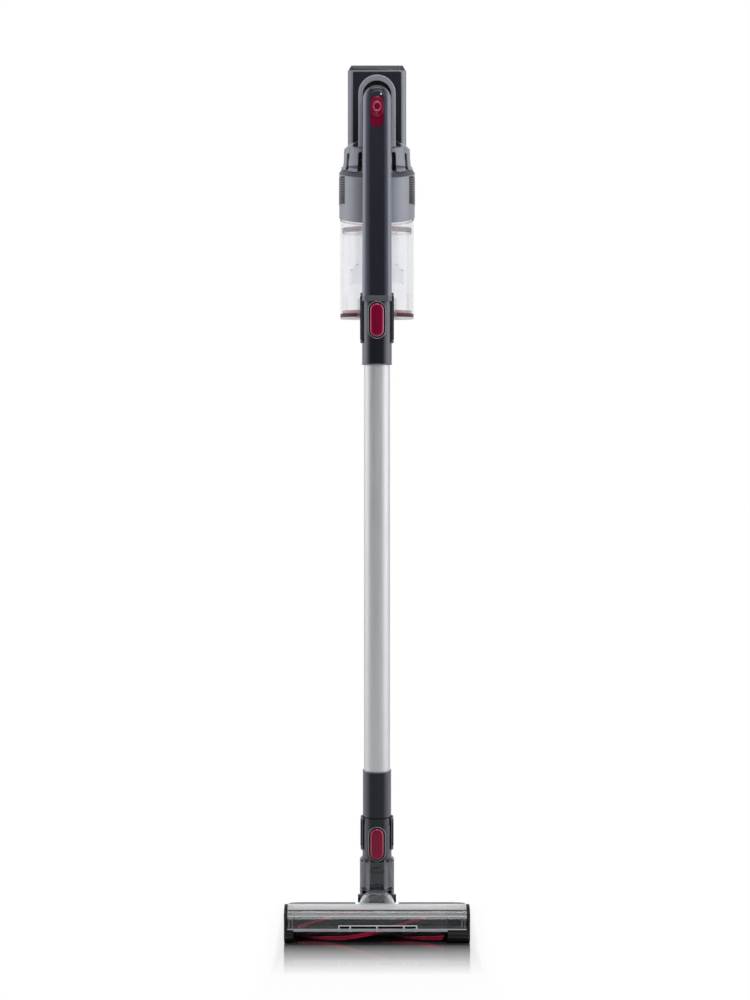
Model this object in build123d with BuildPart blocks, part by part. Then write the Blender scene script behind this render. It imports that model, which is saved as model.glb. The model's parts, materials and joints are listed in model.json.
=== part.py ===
from build123d import *
import math
import os

os.makedirs("parts", exist_ok=True)

# Cordless stick vacuum, standing upright, in millimetres.
# The wand axis is the Z axis, the floor is z = 0 and the front faces -Y.

# Floor head
head_width = 243.0
brush_y = -50.0
brush_z = 22.8
bristle_r = 21.6
core_r = 17.0
shaft_r = 3.0
tip_gap = 1.0
window_wall = 1.8
window_rear_angle = 50.0
window_front_angle = 185.5
comb_angle = 190.0
comb_posts = (-49.0, -35.0, 0.0, 34.0, 50.0)
comb_post_width = 3.0
cap_thick = 4.5
left_block = 12.5
drive_box = 29.5
block_wall = 3.0
bearing_r = 6.0
floor_gap = 1.5
sole_thick = 2.5
head_rear = 95.0
head_rear_top = 11.0
shoulder_y = -24.0
shoulder_z = 31.0
rear_corner_r = 16.0
front_corner_r = 5.0
trough_half = 30.0
pod_wall = 2.2
pod_inset = 29.5
pod_rear_block = 24.0
lint_depth = 16.0
lint_inset = 33.5
screw_r = 1.5
screw_sides = 8
screw_head_r = 3.0
screw_head_height = 1.2
screw_length = 9.0
side_screw_inset = 16.5
side_screw_y = 30.0
rear_screw_inset = 46.5
rear_screw_gap = 12.0

# Brush drive
motor_y = 0.0
motor_z = 13.8
motor_r = 9.0
motor_length = 42.0
spindle_r = 1.5
brush_pulley_r = 11.0
motor_pulley_r = 5.0
pulley_width = 9.0
belt_width = 6.0
belt_thick = 1.2
pulley_flange = 1.2

# Bristles
helix_pitch = 375.0
strip_width = 3.4
strip_height = 1.2
strand_r = 0.55
strand_step = 3.4
strand_row_gap = 1.7
strip_low_x = -73.0
strip_count = 3

# Rear wheels
wheel_r = 5.0
wheel_width = 9.0
wheel_inset = 69.5
axle_r = 0.9
wheel_setback = 11.0

# Neck swivel
roll_z = 37.0
pitch_rise = 5.0
hood_r = 24.0
hood_wall = 1.8
hood_front = -45.0
hood_rear = -26.0
hood_round = 4.0
collar_length = 4.5
elbow_r = 17.5
elbow_wall = 2.5
flange_thick = 1.6
drum_r = 17.0
drum_half = 19.0
pin_r = 4.0
pin_head_r = 5.5
pin_head = 2.5
yoke_half_width = 23.0
yoke_half_depth = 19.5
yoke_corner_r = 14.0
yoke_height = 55.5
yoke_edge_r = 3.0

# Wand, from the neck up
cuff_r = 19.5
duct_r = 14.3
neck_cuff_height = 45.5
lower_button_width = 18.0
lower_button_height = 41.0
lower_button_rise = 1.0
button_inset = 1.9
button_proud = 1.2
button_travel = 1.5
button_gap = 0.6
lower_pad_height = 43.0
lower_pad_rise = 9.0
lower_pad_r = 22.0
pad_half = 9.0
sleeve_r = 19.0
sleeve_height = 71.0
spigot_length = 20.0
spigot_wall = 1.5
tube_r = 17.5
tube_wall = 1.2
tube_engage = 28.0
tube_length = 543.0
upper_cuff_r = 20.0
upper_cuff_height = 84.7
upper_button_width = 18.8
upper_button_height = 45.0
upper_button_drop = 2.7
upper_pad_height = 67.0
upper_pad_rise = 11.3
upper_pad_r = 22.5
band_height = 7.3

# Spine and arched body of the handheld
spine_low_half = 19.75
spine_top_half = 18.7
spine_rise = 70.0
spine_front = -19.0
spine_rear = 18.0
spine_front_r = 9.4
inlet_rise = 85.0
inlet_r = 12.0
slider_width = 18.0
slider_height = 42.0
slider_drop = 15.0
slider_bed_thick = 1.5
slider_recess = 3.6
knob_height = 29.0
knob_thick = 3.6
knob_gap = 0.3
arch_half = 25.0
arch_rise = 17.0
arch_foot = 10.0
arch_back = 8.0
arch_depth = 19.0
arch_pocket_rise = 8.5

# Bin and motor, upright behind the spine
bin_r = 50.5
bin_wall = 2.0
bin_gap = 3.5
bin_drop = 21.7
door_thick = 7.0
door_rim = 4.0
door_gap = 0.3
door_seal_height = 4.5
hinge_inset = 5.5
hinge_pin_r = 1.5
knuckle_r = 3.4
knuckle_half = 7.0
bracket_half = 26.5
bracket_height = 26.0
bracket_depth = 17.0
seal_thick = 2.0
seal_drop = 22.0
seal_height = 7.0
joint_rise = 140.0
joint_slant = 13.0
cyclone_inset = 13.5
cyclone_rise = 49.0
cyclone_skirt = 18.0
cyclone_neck_inset = 8.0
cyclone_wall = 2.0
ring_lip = 1.5
ring_wall = 2.5
ring_height = 68.0
shoulder_drop = 7.0
rib_rise = 17.0
rib_height = 38.0
rib_count = 12
rib_angle = 32.0
dome_inset = 5.3
dome_draft = 2.0
dome_height = 32.0
dome_wall = 2.5
dome_round = 6.0
vent_count = 12
vent_width = 6.5
vent_rise = 1.0
can_r = 30.0
can_rise = 26.0
can_height = 34.0
impeller_r = 24.0
impeller_height = 9.0
blade_count = 9
rotor_shaft_r = 2.5
filter_inset = 7.7
filter_bore = 18.0

# Grip and battery
grip_half = 17.0
grip_height = 38.0
grip_round = 12.0
finger_room = 44.0
pad_thick = 1.6
battery_half = 41.0
battery_depth = 38.0
battery_drop = 10.0
battery_height = 128.5
battery_chamfer = 11.0
battery_corner = 5.0
battery_cut = 8.5
socket_r = 2.75
socket_outer_r = 5.0
socket_depth = 9.0
socket_rise = 20.0
latch_half = 11.0
latch_height = 12.0
latch_thick = 3.0
latch_travel = 2.0

# Clearances
run_fit = 0.05
seat_gap = 0.2
press_gap = 0.3
side_gap = 0.4

# Heights, stacked from the floor up
pitch_z = roll_z + pitch_rise
yoke_top = pitch_z + yoke_height
neck_cuff_top = yoke_top + neck_cuff_height
lower_button_low = yoke_top + lower_button_rise
lower_button_high = lower_button_low + lower_button_height
lower_pad_high = neck_cuff_top + lower_pad_rise
lower_pad_low = lower_pad_high - lower_pad_height
sleeve_top = neck_cuff_top + sleeve_height
upper_cuff_low = sleeve_top + tube_length
upper_cuff_top = upper_cuff_low + upper_cuff_height
upper_button_high = upper_cuff_top - upper_button_drop
upper_button_low = upper_button_high - upper_button_height
upper_pad_high = upper_cuff_top + upper_pad_rise
upper_pad_low = upper_pad_high - upper_pad_height
band_top = upper_cuff_top + band_height
door_low = upper_cuff_top - bin_drop
bracket_top = door_low + bracket_height
cyclone_low = door_low + cyclone_rise
inlet_z = door_low + inlet_rise
joint_z = door_low + joint_rise
ring_seal_low = joint_z - seal_drop
ring_seal_high = ring_seal_low + seal_height
rib_low = joint_z + rib_rise
rib_high = rib_low + rib_height
can_low = joint_z + can_rise
can_high = can_low + can_height
ring_top = joint_z + ring_height
vent_low = ring_top + vent_rise
dome_top = ring_top + dome_height
spine_top = dome_top + spine_rise
slider_high = spine_top - slider_drop
slider_low = slider_high - slider_height
arch_low = dome_top - arch_foot
arch_top = spine_top + arch_rise
grip_low = dome_top + finger_room
grip_high = grip_low + grip_height
battery_low = dome_top - battery_drop
battery_top = battery_low + battery_height
socket_z = battery_low + socket_rise

# Depths and radii of the handheld, from the spine backwards
arch_rear = spine_rear + arch_back
arch_front = arch_rear - arch_depth
bin_y = spine_rear + bin_gap + bin_r
hinge_y = bin_y - bin_r + hinge_inset
bracket_front = hinge_y - bracket_depth
ring_r = bin_r + ring_lip
cyclone_r = bin_r - cyclone_inset
cyclone_neck_r = cyclone_r - cyclone_neck_inset
dome_low_r = ring_r - dome_inset
dome_high_r = dome_low_r - dome_draft
filter_r = dome_high_r - filter_inset
battery_front = bin_y + ring_r
battery_rear = battery_front + battery_depth


def yz(x):
    """Plane across the X axis, drawn with y to the right and z up."""
    return Plane.YZ.offset(x)


def xz(y):
    """Plane across the Y axis, drawn with x to the right and z up; it extrudes to the front."""
    return Plane.XZ.offset(-y)


def xy(z):
    """Level plane at a height."""
    return Plane.XY.offset(z)


def polar(angle, radius):
    """Point in the side view at an angle about the brush axis."""
    turn = math.radians(angle)
    return (brush_y + radius * math.cos(turn), brush_z + radius * math.sin(turn))


# Derived places of the floor head
half_width = head_width / 2
pod_reach = half_width - pod_inset
lint_half = half_width - lint_inset
wheel_x = half_width - wheel_inset
wheel_y = head_rear - wheel_setback
side_screw = (half_width - side_screw_inset, side_screw_y)
rear_screw = (half_width - rear_screw_inset, head_rear - rear_screw_gap)
base_left = -half_width + cap_thick
base_right = half_width - cap_thick
mouth_left = -half_width + left_block
mouth_right = half_width - drive_box
chamber_r = bristle_r + tip_gap
window_r = chamber_r + window_wall
sole_top = floor_gap + sole_thick
pod_slope = (shoulder_z - head_rear_top) / (head_rear - shoulder_y)
tall = 3 * window_r
deep = 4 * head_rear


def pod_top(y):
    """Height of the sloping top of the rear pods."""
    return shoulder_z - pod_slope * (y - shoulder_y)


def side_profile():
    """Side outline of the head: round brush chamber, sloping rear, flat feet."""
    Polygon(
        (brush_y, sole_top),
        (head_rear, sole_top),
        (head_rear, head_rear_top),
        (shoulder_y, shoulder_z),
        polar(window_rear_angle, window_r),
        (brush_y, brush_z),
        align=None,
    )
    with Locations((brush_y, brush_z)):
        Circle(window_r)
    with Locations((brush_y, -tall / 2)):
        Rectangle(deep, tall, mode=Mode.SUBTRACT)


def window_wedge():
    """Keeps what lies under the window of a side sketch."""
    Polygon(
        (brush_y, brush_z),
        polar(window_rear_angle, tall),
        (brush_y, brush_z + 2 * tall),
        (brush_y - 2 * tall, brush_z + tall),
        polar(window_front_angle, tall),
        align=None,
        mode=Mode.INTERSECT,
    )


def belt_outline(brush_radius, motor_radius):
    """Outline drawn tight round two circles, one on each pulley axis."""
    with Locations((brush_y, brush_z)):
        Circle(brush_radius)
    with Locations((motor_y, motor_z)):
        Circle(motor_radius)
    make_hull()


with BuildSketch(xy(0)) as head_plan:
    with Locations((0, (head_rear + brush_y - window_r) / 2)):
        Rectangle(head_width, head_rear - brush_y + window_r)
    fillet(head_plan.vertices().group_by(Axis.Y)[-1], rear_corner_r)
    fillet(head_plan.vertices().group_by(Axis.Y)[0], front_corner_r)

screw_places = [(side * x, y) for side in (-1, 1) for x, y in (side_screw, rear_screw)]
wheel_places = [(side * wheel_x, wheel_y) for side in (-1, 1)]
well_half = wheel_width / 2 + 1
well_r = wheel_r + 2 * side_gap

# Head housing: end blocks, rear wall of the chamber, pods, swivel collar
with BuildPart() as head_base:
    with BuildSketch(yz(base_left)):
        side_profile()
    extrude(amount=base_right - base_left)
    # open chamber with its front mouth, between the end blocks
    with BuildSketch(yz(mouth_left)):
        with Locations((brush_y, brush_z)):
            Circle(chamber_r)
        Polygon(
            (brush_y, brush_z),
            polar(window_rear_angle, tall),
            (brush_y - tall, brush_z + tall),
            (brush_y - tall, -tall),
            (brush_y + core_r, -tall),
            (brush_y + core_r, brush_z),
            align=None,
        )
    extrude(amount=mouth_right - mouth_left, mode=Mode.SUBTRACT)
    # seat of the window on the end blocks
    with BuildSketch(yz(base_left)):
        with Locations((brush_y, brush_z)):
            Circle(window_r + tip_gap)
            Circle(chamber_r, mode=Mode.SUBTRACT)
        window_wedge()
    extrude(amount=base_right - base_left, mode=Mode.SUBTRACT)
    # collar that carries the swivel
    with BuildSketch(xz(hood_rear + collar_length)):
        with Locations((0, roll_z)):
            Circle(hood_r)
    extrude(amount=collar_length)
    # trough that lets the neck lie back
    with BuildSketch(xy(sole_top - tall)):
        with Locations((0, hood_rear + collar_length + deep / 2)):
            Rectangle(2 * trough_half, deep)
    extrude(amount=2 * tall, mode=Mode.SUBTRACT)
    # hollow pods, open below
    for low, high in ((-pod_reach, -trough_half - pod_wall), (trough_half + pod_wall, mouth_right)):
        with BuildSketch(yz(low)):
            Polygon(
                (brush_y + window_r + pod_wall, 0),
                (brush_y + window_r + pod_wall, pod_top(brush_y + window_r + pod_wall) - pod_wall),
                (head_rear - pod_rear_block, pod_top(head_rear - pod_rear_block) - pod_wall),
                (head_rear - pod_rear_block, 0),
                align=None,
            )
        extrude(amount=high - low, mode=Mode.SUBTRACT)
    # belt case
    with BuildSketch(yz(mouth_right + block_wall)):
        belt_outline(brush_pulley_r + 3 * belt_thick, motor_pulley_r + 3 * belt_thick)
    extrude(amount=drive_box, mode=Mode.SUBTRACT)
    with BuildSketch(yz(mouth_right)):
        with Locations((motor_y, motor_z)):
            Circle(2 * spindle_r)
        with Locations((brush_y, brush_z)):
            Circle(bearing_r)
    extrude(amount=block_wall, mode=Mode.SUBTRACT)
    with BuildSketch(yz(base_left)):
        with Locations((brush_y, brush_z)):
            Circle(bearing_r)
    extrude(amount=mouth_left - base_left, mode=Mode.SUBTRACT)
    # swivel bore, flange recess and seat of the hood
    with BuildSketch(xz(hood_rear + collar_length)):
        with Locations((0, roll_z)):
            Circle(elbow_r + run_fit)
    extrude(amount=tall, mode=Mode.SUBTRACT)
    with BuildSketch(xz(hood_rear)):
        with Locations((0, roll_z)):
            Circle(hood_r - hood_wall)
            with Locations((0, hood_r)):
                Rectangle(2 * hood_r, 2 * hood_r)
    extrude(amount=hood_rear - brush_y, mode=Mode.SUBTRACT)
    # wheel wells, axle holes and screw holes
    for x, y in wheel_places:
        with BuildSketch(yz(x - well_half)):
            with Locations((y, wheel_r)):
                Circle(well_r)
        extrude(amount=2 * well_half, mode=Mode.SUBTRACT)
        with BuildSketch(yz(x - well_half - wheel_width / 2)):
            with Locations((y, wheel_r)):
                Circle(axle_r)
        extrude(amount=2 * well_half + wheel_width, mode=Mode.SUBTRACT)
    with BuildSketch(xy(sole_top)):
        with Locations(*screw_places):
            RegularPolygon(screw_r, screw_sides)
    extrude(amount=screw_length - sole_thick, mode=Mode.SUBTRACT)
    extrude(head_plan.sketch, amount=tall, mode=Mode.INTERSECT)

# Sole plate under the pods
with BuildPart() as head_sole:
    with BuildSketch(xy(floor_gap)):
        with Locations((0, (head_rear + brush_y) / 2)):
            Rectangle(2 * base_right, head_rear - brush_y)
        for x, y in wheel_places:
            with Locations((x, y)):
                Rectangle(2 * well_half, 2 * well_r, mode=Mode.SUBTRACT)
    extrude(amount=sole_thick)
    with BuildSketch(yz(-half_width)):
        with Locations((brush_y, brush_z)):
            Circle(window_r)
        with Locations((brush_y - tall / 2 + core_r, brush_z)):
            Rectangle(tall, 2 * tall)
    extrude(amount=head_width, mode=Mode.SUBTRACT)
    with BuildSketch(xy(floor_gap)):
        with Locations(*screw_places):
            Circle(screw_head_r)
    extrude(amount=screw_head_height, mode=Mode.SUBTRACT)
    with BuildSketch(xy(floor_gap)):
        with Locations(*screw_places):
            RegularPolygon(screw_r, screw_sides)
    extrude(amount=sole_thick, mode=Mode.SUBTRACT)
    extrude(head_plan.sketch, amount=tall, mode=Mode.INTERSECT)

with BuildPart() as sole_screws:
    with BuildSketch(xy(floor_gap)):
        with Locations(*screw_places):
            Circle(screw_head_r)
    extrude(amount=screw_head_height)
    with BuildSketch(xy(floor_gap)):
        with Locations(*screw_places):
            RegularPolygon(screw_r, screw_sides)
    extrude(amount=screw_length)

with BuildPart() as lint_strip:
    with BuildSketch(xy(0)):
        RectangleRounded(2 * lint_half, lint_depth, lint_depth / 4)
    extrude(amount=floor_gap)

# Clear window over the brush, with the clear hood over the swivel
with BuildPart() as head_window:
    with BuildSketch(xz(hood_rear)):
        with Locations((0, roll_z)):
            Circle(hood_r)
        with Locations((0, roll_z - hood_r)):
            Rectangle(2 * hood_r, 2 * hood_r, mode=Mode.SUBTRACT)
    extrude(amount=hood_rear - hood_front)
    fillet(head_window.edges().filter_by(GeomType.CIRCLE).sort_by(Axis.Y)[0], hood_round)
    with BuildSketch(yz(base_left)):
        with Locations((brush_y, brush_z)):
            Circle(window_r)
        window_wedge()
    extrude(amount=base_right - base_left)
    with BuildSketch(yz(base_left)):
        with Locations((brush_y, brush_z)):
            Circle(chamber_r)
    extrude(amount=base_right - base_left, mode=Mode.SUBTRACT)
    with BuildSketch(xz(hood_rear)):
        with Locations((0, roll_z)):
            Circle(hood_r - hood_wall)
    extrude(amount=hood_rear - hood_front - hood_wall, mode=Mode.SUBTRACT)

# Black comb along the lower edge of the window, with its posts
with BuildPart() as window_comb:
    with BuildSketch(yz(mouth_left)):
        with Locations((brush_y, brush_z)):
            Circle(window_r)
            Circle(chamber_r, mode=Mode.SUBTRACT)
        Polygon(
            (brush_y, brush_z),
            polar(window_front_angle, tall),
            polar(comb_angle, tall),
            align=None,
            mode=Mode.INTERSECT,
        )
    extrude(amount=mouth_right - mouth_left)
    comb_low = polar(comb_angle, window_r)[1]
    for x in comb_posts:
        with BuildSketch(yz(x - comb_post_width / 2)):
            with Locations((brush_y - window_r + window_wall / 4, (comb_low + brush_z) / 2)):
                Rectangle(1.5 * window_wall, brush_z - comb_low)
        extrude(amount=comb_post_width)
    with BuildSketch(yz(mouth_left)):
        with Locations((brush_y, brush_z)):
            Circle(window_r)
        Polygon(
            (brush_y, brush_z),
            polar(window_front_angle, tall),
            (brush_y, brush_z + 2 * tall),
            align=None,
            mode=Mode.INTERSECT,
        )
    extrude(amount=mouth_right - mouth_left, mode=Mode.SUBTRACT)

# End caps close the blocks at both sides
with BuildPart() as head_end_cap_left:
    with BuildSketch(yz(-half_width)):
        side_profile()
    extrude(amount=cap_thick)
    extrude(head_plan.sketch, amount=tall, mode=Mode.INTERSECT)

with BuildPart() as head_end_cap_right:
    with BuildSketch(yz(base_right)):
        side_profile()
    extrude(amount=cap_thick)
    extrude(head_plan.sketch, amount=tall, mode=Mode.INTERSECT)

# Brush roll and its bearings
pulley_x = mouth_right + block_wall + pulley_flange
belt_x = pulley_x + (pulley_width - belt_width) / 2
core_left = mouth_left + tip_gap
core_right = mouth_right - tip_gap

with BuildPart() as brush_bearings:
    for x, length in ((base_left, mouth_left - base_left), (mouth_right, block_wall)):
        with BuildSketch(yz(x)):
            with Locations((brush_y, brush_z)):
                Circle(bearing_r)
                Circle(shaft_r + run_fit, mode=Mode.SUBTRACT)
        extrude(amount=length)

with BuildPart() as brush_shaft:
    with BuildSketch(yz(base_left)):
        with Locations((brush_y, brush_z)):
            Circle(shaft_r)
    extrude(amount=pulley_x + pulley_width - base_left)

with BuildPart() as brush_core:
    with BuildSketch(yz(core_left)):
        with Locations((brush_y, brush_z)):
            Circle(core_r)
            Circle(shaft_r, mode=Mode.SUBTRACT)
    extrude(amount=core_right - core_left)

with BuildPart() as brush_pulley:
    with BuildSketch(yz(pulley_x)):
        with Locations((brush_y, brush_z)):
            Circle(brush_pulley_r)
    extrude(amount=pulley_width)
    for x in (pulley_x, pulley_x + pulley_width - pulley_flange):
        with BuildSketch(yz(x)):
            with Locations((brush_y, brush_z)):
                Circle(brush_pulley_r + 2 * belt_thick)
        extrude(amount=pulley_flange)
    with BuildSketch(yz(pulley_x)):
        with Locations((brush_y, brush_z)):
            Circle(shaft_r)
    extrude(amount=pulley_width, mode=Mode.SUBTRACT)

strip_start = core_left + strip_width
strip_length = core_right - core_left - 2 * strip_width


def strip_turn(x, low_x):
    """Angle of a strip about the brush axis, from straight up towards the rear."""
    return 180 + 360 * (x - low_x) / helix_pitch


def strand_planes(low_x):
    """Planes of the strands of one strip, two staggered rows along the winding."""
    planes = []
    lead = helix_pitch / (2 * math.pi * core_r)
    slope = math.atan(lead)
    root = core_r + strip_height / 2
    for row in (-1, 1):
        count = int((strip_length - strand_step) / strand_step)
        for i in range(count):
            along = strip_start + strand_step * (i + 0.75 + row / 4)
            x = along - row * strand_row_gap / 2 * math.cos(slope)
            shift = row * strand_row_gap / 2 * math.sin(slope) / root
            turn = math.radians(strip_turn(along, low_x)) + shift
            out = Vector(0, math.sin(turn), math.cos(turn))
            origin = Vector(x, brush_y, brush_z) + out * root
            planes.append(Plane(origin=origin, x_dir=(1, 0, 0), z_dir=out))
    return planes


def strip_path(low_x):
    """Winding of one strip along the core, placed with its low point at low_x."""
    middle = core_r + strip_height / 2 + run_fit
    winding = Helix(helix_pitch, strip_length, middle, direction=(1, 0, 0), lefthand=True)
    turned = winding.rotate(Axis.X, -strip_turn(strip_start, low_x))
    return turned.moved(Location((strip_start, brush_y, brush_z)))


def strip_section(path, low_x):
    """Plane square to the winding at its start, with x pointing out of the core."""
    turn = math.radians(strip_turn(strip_start, low_x))
    return Plane(origin=path @ 0, x_dir=(0, math.sin(turn), math.cos(turn)), z_dir=path % 0)


strip_gap = helix_pitch / strip_count
low_a = strip_low_x
path_a = strip_path(low_a)
with BuildPart() as bristle_strip_a:
    with BuildSketch(strip_section(path_a, low_a)):
        Rectangle(strip_height, strip_width)
    sweep(path=path_a, is_frenet=True)
    with BuildSketch(*strand_planes(low_a)):
        RegularPolygon(strand_r, 3)
    extrude(amount=bristle_r - core_r - strip_height / 2)

low_b = strip_low_x + strip_gap
path_b = strip_path(low_b)
with BuildPart() as bristle_strip_b:
    with BuildSketch(strip_section(path_b, low_b)):
        Rectangle(strip_height, strip_width)
    sweep(path=path_b, is_frenet=True)
    with BuildSketch(*strand_planes(low_b)):
        RegularPolygon(strand_r, 3)
    extrude(amount=bristle_r - core_r - strip_height / 2)

low_c = strip_low_x - strip_gap
path_c = strip_path(low_c)
with BuildPart() as bristle_strip_c:
    with BuildSketch(strip_section(path_c, low_c)):
        Rectangle(strip_height, strip_width)
    sweep(path=path_c, is_frenet=True)
    with BuildSketch(*strand_planes(low_c)):
        RegularPolygon(strand_r, 3)
    extrude(amount=bristle_r - core_r - strip_height / 2)

# Brush motor, its pulley and the belt
with BuildPart() as brush_motor:
    with BuildSketch(yz(mouth_right - motor_length)):
        with Locations((motor_y, motor_z)):
            Circle(motor_r)
            Circle(spindle_r + run_fit, mode=Mode.SUBTRACT)
    extrude(amount=motor_length)

with BuildPart() as motor_pulley:
    with BuildSketch(yz(mouth_right - motor_length)):
        with Locations((motor_y, motor_z)):
            Circle(spindle_r)
    extrude(amount=pulley_x + pulley_width - mouth_right + motor_length)
    with BuildSketch(yz(pulley_x)):
        with Locations((motor_y, motor_z)):
            Circle(motor_pulley_r)
    extrude(amount=pulley_width)

with BuildPart() as drive_belt:
    with BuildSketch(yz(belt_x)):
        belt_outline(brush_pulley_r + side_gap + belt_thick, motor_pulley_r + side_gap + belt_thick)
    extrude(amount=belt_width)
    with BuildSketch(yz(belt_x)):
        belt_outline(brush_pulley_r + side_gap, motor_pulley_r + side_gap)
    extrude(amount=belt_width, mode=Mode.SUBTRACT)

# Rear wheels
axle_half = well_half + wheel_width / 2
with BuildPart() as wheel_axles:
    for x, y in wheel_places:
        with BuildSketch(yz(x - axle_half)):
            with Locations((y, wheel_r)):
                Circle(axle_r)
        extrude(amount=2 * axle_half)

with BuildPart() as wheel_left:
    with BuildSketch(yz(-wheel_x - wheel_width / 2)):
        with Locations((wheel_y, wheel_r)):
            Circle(wheel_r)
            Circle(axle_r + run_fit, mode=Mode.SUBTRACT)
    extrude(amount=wheel_width)

with BuildPart() as wheel_right:
    with BuildSketch(yz(wheel_x - wheel_width / 2)):
        with Locations((wheel_y, wheel_r)):
            Circle(wheel_r)
            Circle(axle_r + run_fit, mode=Mode.SUBTRACT)
    extrude(amount=wheel_width)

# Swivel elbow: round duct that rolls in the collar, with a drum on the pitch axis
collar_end = hood_rear + collar_length
with BuildPart() as swivel_elbow:
    with BuildSketch(xz(0)):
        with Locations((0, roll_z)):
            Circle(elbow_r)
    extrude(amount=seat_gap - hood_rear)
    with BuildSketch(xz(hood_rear - seat_gap)):
        with Locations((0, roll_z)):
            Circle(hood_r - hood_wall - side_gap)
    extrude(amount=flange_thick)
    with BuildSketch(yz(-drum_half)):
        with Locations((0, pitch_z)):
            Circle(drum_r)
    extrude(amount=2 * drum_half)
    with BuildSketch(xz(0)):
        with Locations((0, roll_z)):
            Circle(elbow_r - elbow_wall)
    extrude(amount=tall, mode=Mode.SUBTRACT)
    with BuildSketch(yz(elbow_wall - drum_half)):
        with Locations((0, pitch_z)):
            Circle(drum_r - elbow_wall)
    extrude(amount=2 * (drum_half - elbow_wall), mode=Mode.SUBTRACT)
    with BuildSketch(yz(-duct_r)):
        with Locations((drum_r / 4, pitch_z + drum_r)):
            Rectangle(2 * drum_r, 1.5 * drum_r)
    extrude(amount=2 * duct_r, mode=Mode.SUBTRACT)
    with BuildSketch(yz(-drum_half)):
        with Locations((0, pitch_z)):
            Circle(pin_r + run_fit)
    extrude(amount=2 * drum_half, mode=Mode.SUBTRACT)

with BuildPart() as elbow_seal:
    with BuildSketch(xz(-yoke_half_depth - 2 * seat_gap)):
        with Locations((0, roll_z)):
            Circle(hood_r - hood_wall)
            Circle(elbow_r, mode=Mode.SUBTRACT)
    extrude(amount=-yoke_half_depth - 3 * seat_gap - collar_end)

# Smoky neck: a yoke that pitches on the drum
drum_space = drum_half + side_gap
with BuildPart() as neck_yoke:
    with BuildSketch(xy(pitch_z - yoke_half_depth)):
        RectangleRounded(2 * yoke_half_width, 2 * yoke_half_depth, yoke_corner_r)
    extrude(amount=yoke_top - pitch_z + yoke_half_depth)
    chamfer(neck_yoke.faces().sort_by(Axis.Z)[-1].edges(), yoke_edge_r)
    with BuildSketch(yz(-yoke_half_width)):
        with Locations((0, pitch_z)):
            Circle(yoke_half_depth)
        with Locations((0, (pitch_z + yoke_top) / 2)):
            Rectangle(2 * yoke_half_depth, yoke_top - pitch_z)
    extrude(amount=2 * yoke_half_width, mode=Mode.INTERSECT)
    with BuildSketch(yz(-drum_space)):
        with Locations((0, pitch_z)):
            Circle(drum_r + side_gap)
        Polygon(
            (-tall, -tall),
            (tall, -tall),
            (tall, pitch_z - elbow_wall),
            (0, pitch_z - elbow_wall),
            (0, roll_z + elbow_r + elbow_wall),
            (-tall, roll_z + elbow_r + elbow_wall),
            align=None,
        )
    extrude(amount=2 * drum_space, mode=Mode.SUBTRACT)
    with BuildSketch(xy(pitch_z)):
        Circle(duct_r)
    extrude(amount=yoke_top - pitch_z, mode=Mode.SUBTRACT)
    with BuildSketch(yz(-yoke_half_width)):
        with Locations((0, pitch_z)):
            Circle(pin_r)
    extrude(amount=2 * yoke_half_width, mode=Mode.SUBTRACT)

pin_start = drum_half - elbow_wall + seat_gap
with BuildPart() as pivot_pins:
    with BuildSketch(yz(pin_start)):
        with Locations((0, pitch_z)):
            Circle(pin_r)
    extrude(amount=yoke_half_width - pin_start)
    with BuildSketch(yz(yoke_half_width)):
        with Locations((0, pitch_z)):
            Circle(pin_head_r)
    extrude(amount=pin_head)
    mirror(about=Plane.YZ)


button_depth = button_inset + button_travel + press_gap


def button_outline(width, low, high, grow):
    """Stadium outline of a release button in the front view."""
    with Locations((0, (low + high) / 2)):
        SlotOverall(high - low + 2 * grow, width + 2 * grow, rotation=90)


def pad_outline(outer, inner):
    """Pair of curved grip pads at the sides of a cuff."""
    Circle(outer)
    Rectangle(4 * outer, 2 * pad_half, mode=Mode.INTERSECT)
    Circle(inner, mode=Mode.SUBTRACT)


# Cuff of the neck, with its release button
with BuildPart() as neck_cuff:
    with BuildSketch(xy(yoke_top)):
        Circle(cuff_r)
    extrude(amount=neck_cuff_top - yoke_top)
    with BuildSketch(xy(lower_pad_low)):
        pad_outline(lower_pad_r, sleeve_r + side_gap)
    extrude(amount=lower_pad_high - lower_pad_low)
    with BuildSketch(xz(0)):
        button_outline(lower_button_width, lower_button_low, lower_button_high, button_gap)
    extrude(amount=2 * cuff_r, mode=Mode.SUBTRACT)
    with BuildSketch(xy(yoke_top)):
        Circle(cuff_r - button_depth)
    extrude(amount=neck_cuff_top - yoke_top)
    with BuildSketch(xy(yoke_top)):
        Circle(duct_r)
    extrude(amount=neck_cuff_top - yoke_top, mode=Mode.SUBTRACT)

with BuildPart() as lower_button:
    with BuildSketch(xz(0)):
        button_outline(lower_button_width, lower_button_low, lower_button_high, 0)
    extrude(amount=2 * cuff_r)
    with BuildSketch(xy(yoke_top)):
        Circle(cuff_r + button_proud)
        Circle(cuff_r - button_inset, mode=Mode.SUBTRACT)
    extrude(amount=neck_cuff_top - yoke_top, mode=Mode.INTERSECT)

# Wand: lower sleeve, tube, upper cuff
with BuildPart() as wand_lower_sleeve:
    with BuildSketch(xy(neck_cuff_top)):
        Circle(sleeve_r)
    extrude(amount=sleeve_top - neck_cuff_top)
    chamfer(wand_lower_sleeve.edges().sort_by(Axis.Z)[-1], (sleeve_r - tube_r) / 2)
    with BuildSketch(xy(neck_cuff_top - spigot_length)):
        Circle(duct_r - run_fit)
    extrude(amount=spigot_length)
    with BuildSketch(xy(neck_cuff_top - spigot_length)):
        Circle(duct_r - run_fit - spigot_wall)
    extrude(amount=sleeve_top - neck_cuff_top + spigot_length, mode=Mode.SUBTRACT)
    with BuildSketch(xy(sleeve_top - tube_engage)):
        Circle(tube_r)
    extrude(amount=tube_engage, mode=Mode.SUBTRACT)

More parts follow.
